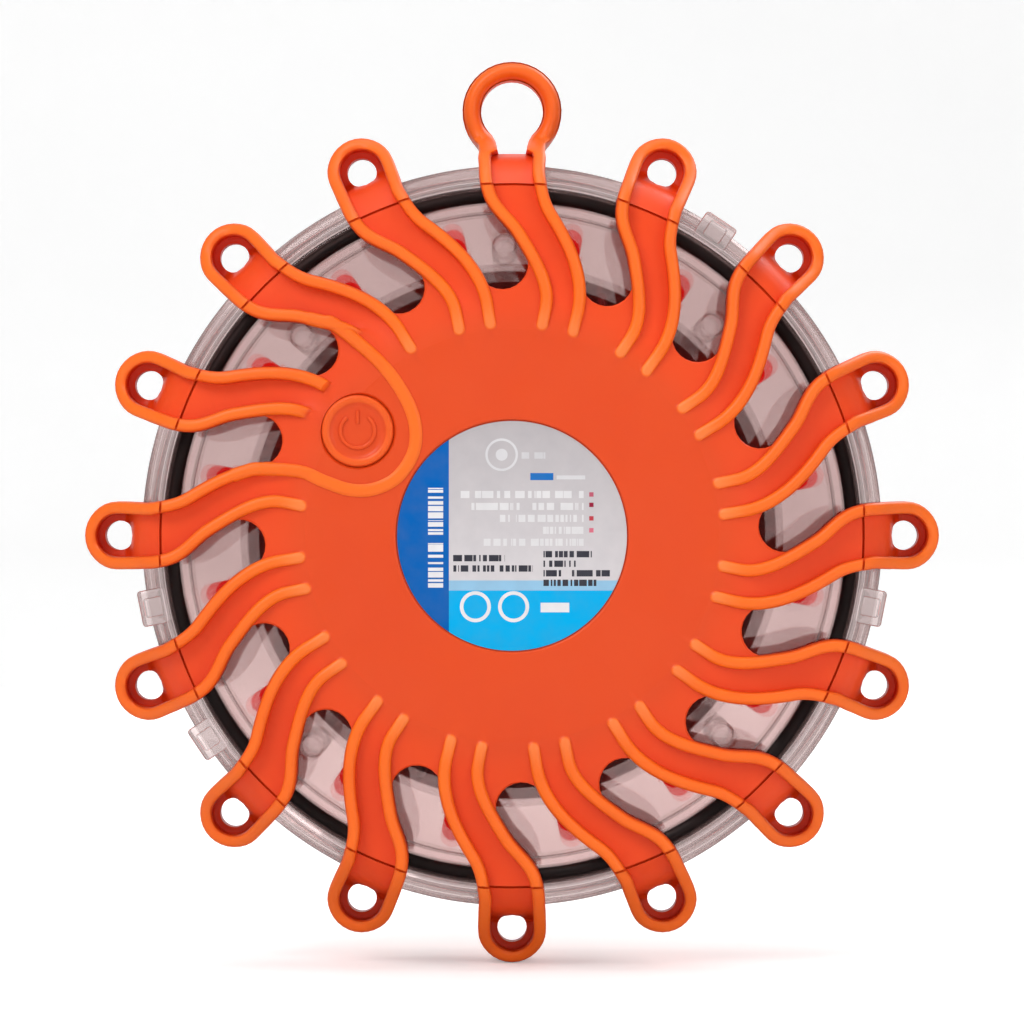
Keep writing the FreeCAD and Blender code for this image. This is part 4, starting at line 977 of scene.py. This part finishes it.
def nose_ribs(skin, number, stations, hook):
    """Rows over the rib that runs round a nose, one for each station."""
    rows = []
    for inner, outer in stations:
        row = []
        for u in RIB_COLUMNS:
            along, offset = between(inner, outer, u)
            radius = math.hypot(along, offset)
            straight = inner in (stations[0][0], stations[-1][0])
            level = surface_level(1, u, radius) if straight else nose_level(u, radius, hook)
            row.append(skin.arm_vert(number, along, offset, level))
        rows.append(row)
    return rows


def tie_floor(skin, number, border):
    """Floor between the ribs of a tip, from its border to the round tie hole."""
    middle, ring = [], []
    for v in border:
        x, y, _ = skin.builder.points[v]
        along, offset = turned((x, y), -number * PITCH)
        dx, dy = along - TIE_CIRCLE, offset
        size = math.hypot(dx, dy)
        hx, hy = TIE_CIRCLE + dx / size * TIE_HOLE, dy / size * TIE_HOLE
        mx, my = lerp(along, hx, 0.75), lerp(offset, hy, 0.75)
        middle.append(skin.arm_vert(number, mx, my, cone_level(math.hypot(mx, my))))
        ring.append(skin.arm_vert(number, hx, hy, cone_level(math.hypot(hx, hy)) - 0.12))
    skin.grid([border, middle, ring], closed=True)


def hook_floor(skin, number, border, nose, stations):
    """Short floor between the ribs at the foot of the hook."""
    rows = [border]
    for i in (1, 2):
        along, offset = stations[i][0]
        row = [nose[i][0]]
        row += [skin.arm_vert(number, along, u * abs(offset), cone_level(along)) for u in CHANNEL_COLUMNS]
        rows.append(row + [nose[-1 - i][0]])
    skin.grid(rows)


def outer_arm(skin, number, rows):
    """Arm from its last full row outwards, with its tip or the hook."""
    hook = number == HOOK_ARM
    stations = tip_stations(hook)
    end = straight_end(skin, number, stations[0], stations[-1])
    skin.grid(rows + [end])
    nose = nose_ribs(skin, number, stations, hook)
    skin.grid(nose)
    channel = [end[i] for i, (side, u) in enumerate(COLUMNS) if side == 0 or u == 0.0]
    if hook:
        hook_floor(skin, number, channel, nose, stations)
    else:
        tie_floor(skin, number, channel[::-1] + [row[0] for row in nose[1:-1]])


def side_wall(builder, a, b):
    """Wall from an edge of the back's skin beyond the rim across to the front's skin."""
    corners = [a, b]
    for v in (b, a):
        x, y, z = builder.points[v]
        way = [builder.vert(x, y, FULL - z)]
        if abs(math.hypot(x, y) - CUP_RIM) <= NEAR:
            way = [builder.vert(x, y, FULL - RIM_FRONT), builder.vert(x, y, RIM_FRONT)] + way
        corners += way if v == b else way[::-1]
    builder.face(corners)


def rear_grip():
    """Rear overmould: disc, sixteen arms that wrap round the rim, tips with tie holes, hook."""
    builder = Builder()
    edge = SEAM + SEAM_GAP
    rim_rows = [edge, 45.0, 45.6, 46.2, 46.7, CUP_RIM, 47.6]
    back, front = Skin(builder, True), Skin(builder)
    back.inner_arms()
    rings = [(RIB_START, FACE)] + [(radius, FACE) for radius in (24.0, 20.0, 16.0, 12.0, MAGNET_R + 0.65)]
    back.disc(rings + [(MAGNET_R + 0.4, FACE - 0.12), (MAGNET_R + 0.25, FACE - 0.35)])
    back_rows = [WINDOW_SIDE + (edge - WINDOW_SIDE) * i / 18 for i in range(18)] + rim_rows
    for number in range(ARMS):
        outer_arm(back, number, [back.arm_row(number, radius) for radius in back_rows])
    # At the front the arm begins with a tongue under the front grip's edge.
    for number in range(ARMS):
        tongue = [front.arm_row(number, radius, 0.6) for radius in (SEAM - SEAM_GAP + 0.06, edge)]
        outer_arm(front, number, tongue + [front.arm_row(number, radius) for radius in rim_rows])
    for skin in (back, front):
        builder.faces += skin.faces
    for skin in (back, front):
        skin.bottoms()
        for a, b in skin.rim_edges():
            if max(math.hypot(*builder.points[v][:2]) for v in (a, b)) <= CUP_RIM + NEAR:
                skin.wall(a, b)
            elif skin is back:
                side_wall(builder, a, b)
    # Inner wall along the cup's rim.
    for number in range(ARMS):
        spots = [across(number, side, u, CUP_RIM) for side, u in COLUMNS]
        builder.grid([builder.level_row(spots, level) for level in (FULL - RIM_FRONT, RIM_FRONT)])
    item = builder.done("rear_grip_soft", ORANGE, "housing", "rear_grip", "orange_soft", 38)
    recess = ((5.45, 6.0), (5.45, 1.75), (6.55, 1.7), (6.7, 1.5), (6.75, 1.05), (7.0, 0.78), (7.05, -1.0))
    for side in SIDES:
        combine(item, lathed(recess, side * SCREW_X))
    store_tone(item)


# ---- Clear lid and cup ----


def clear_lid():
    """Clear lid with its skirt, screw posts and the guide of the plunger."""
    edge = SEAM - SEAM_GAP
    foot, skirt, inside = 28.6, 25.4, 31.2
    profile = [(0.0, LID_TOP), (DISC_FLAT, LID_TOP), (edge, LID_TOP - CONE_DROP), (edge, foot), (42.4, foot),
               (42.4, skirt), (41.0, skirt), (41.0, 29.08), (DISC_FLAT, inside), (0.0, inside)]
    item = lathed(rounded(profile, 0.35), segments=256)
    item = item.done("clear_lid", CLEAR, "cover", "front_cover", "clear_plastic")
    sunk = inside + 0.4
    post = ((POST_R - 0.3, POST_MEET), (POST_R, POST_MEET + 0.3), (POST_R, sunk))
    for side in SIDES:
        combine(item, lathed(post, side * SCREW_X), "UNION")
        combine(item, rod(2.75, 20.0, foot, side * SCREW_X))
    combine(item, rod(2.4, 27.2, sunk, *BUTTON), "UNION")
    combine(item, rod(1.56, 26.0, 34.0, *BUTTON))
    combine(item, rod(6.1, 32.2, 34.5, *BUTTON))
    even_normals(item)


def clear_cup():
    """Clear cup with its rim, posts, board stands, pegs and rim lugs."""
    edge = SEAM + SEAM_GAP
    outside = [(0.0, 2.4), (DISC_FLAT, 2.4), (SEAM, 5.0), (46.3, 6.2), (CUP_RIM, 8.0), (CUP_RIM, RIM_FRONT),
               (46.5, 29.2), (45.6, 29.5), (45.2, 30.6), (edge, 30.6)]
    inside = [(edge, 27.0), (42.6, 27.0), (42.6, 24.6), (44.2, 24.5), (44.6, 24.0), (44.6, 8.6), (42.7, 7.0),
              (DISC_FLAT, 4.4), (0.0, 4.4)]
    profile = rounded(outside + inside, 0.35)
    item = lathed(profile, segments=256).done("clear_cup", CLEAR, "housing", "housing", "clear_plastic")
    sunk = 3.0
    joins = [lathed(((12.0, sunk), (12.0, 6.5), (11.7, 6.8)))]
    for side in SIDES:
        joins.append(lathed(((6.6, sunk), (6.6, 6.1), (6.3, 6.4)), side * SCREW_X))
        joins.append(rod(POST_R, sunk, POST_MEET, side * SCREW_X))
    for angle in (45, 135, 225, 315):
        joins.append(rod(2.6, sunk, 14.5, *polar(29.0, angle), 30))
    peg = ((1.65, 4.5), (1.65, 22.4), (1.3, 22.9), (0.6, 23.0))
    for angle in (46.5, 91.5, 136.5, 226.5, 316.5):
        joins.append(lathed(peg, *polar(37.0, angle), 32))
    for join in joins:
        combine(item, join, "UNION")
    lug_boxes = ((46.35, 28.65, (1.65, 2.3, 2.45)), (46.2, 29.0, (1.2, 1.25, 2.6)))
    for angle in (56.25, 191.25, 213.75, 348.75):
        for radius, height, half in lug_boxes:
            lug = Builder()
            lug.box((*polar(radius, angle), height), half, angle)
            combine(item, lug, "UNION", bevel=0.4)
    combine(item, rod(MAGNET_R, 0.0, 5.0))
    for side in SIDES:
        combine(item, rod(5.5, 0.0, 4.3, side * SCREW_X))
        combine(item, rod(2.2, 0.0, 24.0, side * SCREW_X))
    even_normals(item)


# ---- Magnet, fasteners, seal, label and button ----


def magnet_disc():
    """Nickel plated disc with a rounded edge, which stands a little out of the rear grip."""
    profile = rounded([(0.0, 0.0), (9.1, 0.0), (MAGNET_R, 0.9), (MAGNET_R, 5.0), (0.0, 5.0)], 0.7, 5)
    lathed(profile, segments=128).done("magnet_disc", NICKEL, "housing", "magnet", "nickel", 50)


def cross_tool(x, turn, top):
    """Tapered cross that cuts a screw's recess."""
    builder = Builder()
    rows = []
    for level, arm, half in ((top - 0.5, 3.25, 1.0), (top + 0.5, 2.8, 0.82), (top + 1.7, 1.5, 0.5)):
        corners = [(arm, -half), (arm, half), (half, half), (half, arm), (-half, arm), (-half, half),
                   (-arm, half), (-arm, -half), (-half, -half), (-half, -arm), (half, -arm), (half, -half)]
        spots = [turned(corner, turn) for corner in corners]
        rows.append([builder.vert(x + px, py, level) for px, py in spots])
    builder.shell(rows)
    return builder


def cover_screw(side, turn):
    """Zinc plated machine screw with a broad head, cross recess and thread."""
    name = "left" if side < 0 else "right"
    x, top, head_r, head_end, shank_r = side * SCREW_X, 1.3, 5.3, 3.5, 2.0
    thread_start, thread_end, pitch, steps, root, ridge = 8.0, 26.6, 0.7, 5, 1.72, 0.28
    segments = 48
    builder = Builder()
    head = [(0.0, top), (4.75, top), (head_r, top + 0.55), (head_r, head_end), (shank_r, head_end),
            (shank_r, 7.5), (1.7, 7.8)]
    rows = []
    for radius, level in rounded(head, 0.3):
        rows.append([builder.vert(x + c, s, level) for c, s in circle(radius, segments)])
    # The thread's radius follows a helix of ridges.
    for i in range(int((thread_end - thread_start) / pitch * steps) + 1):
        row = []
        for j in range(segments):
            phase = (i / steps + j / segments) % 1.0
            c, s = polar(root + ridge * (1 - abs(2 * phase - 1)), 360.0 * j / segments)
            row.append(builder.vert(x + c, s, thread_start + i * pitch / steps))
        rows.append(row)
    rows.append([builder.vert(x + c, s, 27.3) for c, s in circle(1.4, segments)])
    builder.grid(rows, closed=True)
    builder.face(rows[-1])
    item = builder.done(f"screw_{name}_plated", ZINC, f"screw_{name}", f"cover_screw_{name}", "zinc_steel")
    combine(item, cross_tool(x, turn, top), smooth_angle=30)

    def painted_highlight_area(px, py, pz):
        """The recess and the head's edge, painted a lighter, glossier zinc as a painted highlight."""
        radius = math.hypot(px - x, py)
        return pz < 3.2 and (radius > 4.7 or (radius < 3.1 and pz > top + 0.02))

    paint(item, ZINC_HIGHLIGHT, painted_highlight_area)


def seal_ring():
    """O-ring between the lid's edge and the cup's ledge."""
    builder = Builder()
    builder.tube([(x, y, 27.8) for x, y in circle(43.1, 256)], 0.9, 16, closed=True)
    builder.done("seal_ring", BLACK_RUBBER, "cover", "cover_seal", "black_rubber", 60)


def label_sticker():
    """Printed sticker in the front grip's pocket."""
    low, high = FACE - 0.35, FACE - 0.15
    profile = rounded([(0.0, low), (LABEL_R, low), (LABEL_R, high), (0.0, high)], 0.08, 2)
    lathed(profile, segments=160).done("label_sticker", LABEL, "cover", "label_disc", "label")


def button_cap():
    """Soft button cap with a raised ring and a power symbol."""
    face = FACE - 0.1
    radius, flange = BUTTON_R + 0.1, 5.8
    profile = [(0.0, 33.9), (1.0, 33.9), (1.0, 32.7), (flange, 32.7), (flange, LID_TOP), (radius, LID_TOP),
               (radius, face + 0.05), (4.3, face + 0.42), (3.75, face + 0.42), (3.2, face), (0.0, face)]
    cap = lathed(rounded(profile, 0.35, 4), *BUTTON, 96)
    cap = cap.done("button_cap", ORANGE, "button", "power_button", "orange_soft", 45)

    def level(x, y):
        return face, face + 0.27

    gap = 38
    ring = [(BUTTON[0] + x, BUTTON[1] + y) for x, y in arc(2.15, 90 + gap, 360 - 2 * gap, 48)]
    stroke = [(BUTTON[0], BUTTON[1] + 0.9 + 0.2 * i) for i in range(9)]
    symbol = Builder()
    swept_rib(symbol, ring, level, 0.6, 0.2)
    swept_rib(symbol, stroke, level, 0.5, 0.2)
    mark = symbol.done("button_symbol", ORANGE, "button", "power_button", "orange_soft", 45)
    # The cap's raised ring and symbol are painted a little lighter than its face, a painted highlight.
    for item in (cap, mark):
        store_tone(item, None, 0.5, 0.72)


# ---- LEDs, board, cells ----


def led_domes():
    """Round LEDs that point outwards, one between each two arms."""
    builder = Builder()
    flange, straight = 1.9, LED_TIP - LED_R
    profile = [(0.0, 0.0), (flange, 0.0), (flange, 1.0), (LED_R, 1.05), (LED_R, straight)]
    dome = [polar(LED_R, angle) for angle in range(12, 91, 13)]
    profile += [(radius, straight + height) for radius, height in dome] + [(0.0, LED_TIP)]
    for i in range(ARMS):
        angle = PITCH * (i + 0.5)
        builder.lathe(profile, 24, (*polar(LED_CIRCLE, angle), LED_LEVEL), (*polar(1.0, angle), 0.0))
    builder.done("led_domes", RED_LENS, "housing", "led_lenses", "red_lens", 50)


def board_tracks():
    """Bare tinned tracks that run in pairs over the back of the board to its edge."""
    builder = Builder()
    for i in range(ARMS):
        angle = i * PITCH + 1.5
        for shift in (-0.8, 0.45):
            path = [(*turned((radius, shift), angle), 14.42) for radius in (29.2, 31.0, 32.6, 34.1)]
            builder.tube(path, 0.14, 8)
    builder.done("board_tracks", COPPER, "housing", None, "tinned_wire")


def aaa_cells():
    """Three AAA cells with printed sleeves and bare ends."""
    end, nub = HALF_CELL, 1.9
    profile = [(0.0, -end), (4.3, -end), (4.6, -end + 0.15), (CELL_R, -end + 0.3), (CELL_R, end - 1.3),
               (4.7, end - 1.0), (nub, end - 1.05), (nub, end), (0.0, end)]
    builder = Builder()
    for column, sense in CELLS:
        centre = (column * CELL_PITCH, 0.0, CELL_AXIS)
        builder.lathe(rounded(profile, 0.25), 64, centre, (0, sense, 0))
    item = builder.done("aaa_cells", SLEEVE, "housing", "battery_cells", "cell_wrap")

    def bare(x, y, z):
        column = round(x / CELL_PITCH)
        return math.hypot(x - column * CELL_PITCH, z - CELL_AXIS) < 4.9

    paint(item, SPRING, bare)


def contact_coils():
    """Conical springs at the cells' negative ends."""
    builder = Builder()
    turns, steps = 3.4, 96
    for column, sense in CELLS:
        path = []
        for i in range(steps + 1):
            t = i / steps
            c, s = polar(lerp(2.0, 2.6, t), 360 * turns * t)
            level = lerp(HALF_CELL + 0.3, HOLDER_END - 0.3, t)
            path.append((column * CELL_PITCH + c, -sense * level, CELL_AXIS + s))
        builder.tube(path, 0.27, 10)
    builder.done("contact_coils", SPRING, "housing", "contact_springs", "nickel", 50)


# CAD nodes whose shape is right keep it and get a finished material.
FINISHES = {
    "screw_seals": BLACK_RUBBER, "screw_inserts": BRASS, "button_plunger": BLACK_PLASTIC,
    "main_board": BOARD, "led_leads": TIN, "switch_body": BLACK_PLASTIC, "switch_stem": WHITE_PLASTIC,
    "controller_chip": BLACK_PLASTIC, "smd_resistors": CERAMIC, "driver_transistors": BLACK_PLASTIC,
    "capacitor": ALUMINIUM, "board_screws": ZINC, "battery_holder": HOLDER, "contact_plates": SPRING,
    "battery_wire_red": RED_WIRE, "battery_wire_black": BLACK_WIRE,
}

front_grip()
button_surround()
rear_grip()
clear_lid()
clear_cup()
magnet_disc()
cover_screw(-1, 45)
cover_screw(1, 20)
seal_ring()
label_sticker()
button_cap()
led_domes()
board_tracks()
aaa_cells()
contact_coils()
for node, finish in FINISHES.items():
    for material_slot in frame["nodes"][node].material_slots:
        material_slot.material = finish

# ---- Stage ----


def pale_floor():
    """Pale floor; mirror-like surfaces see it dimmer, as in a studio with a dark side."""
    n = Nodes("pale_floor")
    rays = n.add("ShaderNodeLightPath")
    pale = n.mix(n.ramp(n.noise(6.0), 0.0, 1.0), (0.94, 0.94, 0.94, 1), (0.91, 0.91, 0.91, 1))
    mirrored = n.math("MINIMUM", rays.outputs["Glossy Depth"], 1.0)
    seen = n.mix(mirrored, pale, (0.2, 0.2, 0.2, 1))
    direct = n.math("MAXIMUM", rays.outputs["Is Camera Ray"], rays.outputs["Is Transmission Ray"])
    direct = n.math("SUBTRACT", direct, mirrored, clamp=True)
    glow = n.ramp(direct, 0.0, 0.3, 0.0, 1.0)
    n.surface(seen, 0.8, Emission_Color=(1, 1, 1, 1), Emission_Strength=glow)
    return n.material


def floor():
    """Floor that curves up into a backdrop all round."""
    profile = [(0.5, 0.0), (400.0, 0.0), (900.0, 0.0), (1200.0, 40.0), (1400.0, 160.0), (1500.0, 400.0),
               (1540.0, 900.0), (1550.0, 1800.0)]
    low = -55.0            # under the lowest tip
    builder = Builder()
    rows = [[builder.vert(c, low + height, s) for c, s in circle(radius, 96)] for radius, height in profile]
    builder.grid(rows, closed=True)
    builder.face(rows[0])
    item = builder.raw("floor")
    item.data.materials.append(pale_floor())
    for face in item.data.polygons:
        face.use_smooth = True


def lamp(name, place, size, power):
    """Square soft light aimed at the lamp; places and sizes are in metres."""
    data = bpy.data.lights.new(name, "AREA")
    data.size = size
    data.energy = power
    light = in_scene(name, data)
    light.location = place
    light.rotation_euler = (-Vector(place)).to_track_quat("-Z", "Y").to_euler()
    light.visible_camera = False
    light.visible_transmission = False


def sky():
    """Even white light from all round."""
    world_light = bpy.data.worlds.new("studio")
    world_light.use_nodes = True
    background = world_light.node_tree.nodes["Background"]
    background.inputs["Color"].default_value = (1.0, 1.0, 1.0, 1.0)
    background.inputs["Strength"].default_value = 0.44
    bpy.context.scene.world = world_light


def camera():
    """Camera straight in front; the view reaches half_view to each side at a plane inside the lamp."""
    distance, sensor, half_view, plane = 0.60, 36.0, 0.066, 0.02
    data = bpy.data.cameras.new("camera")
    data.sensor_width = sensor
    data.lens = sensor / (2 * half_view / (distance - plane))
    eye = in_scene("camera", data)
    eye.location = (0.0, -distance, 0.003)
    eye.rotation_euler = (math.radians(90), 0, 0)
    bpy.context.scene.camera = eye


floor()
sky()
lamp("key", (-0.5, -0.7, 0.7), 0.45, 4.4)
lamp("fill", (0.7, -0.7, 0.25), 0.5, 1.4)
lamp("top", (0.0, -0.1, 0.95), 0.6, 2.6)
lamp("rear_key", (0.5, 0.7, 0.7), 0.45, 2.8)
lamp("rear_panel", (0.0, 0.85, 0.06), 1.0, 3.3)
camera()
bpy.context.scene.view_settings.view_transform = "Standard"
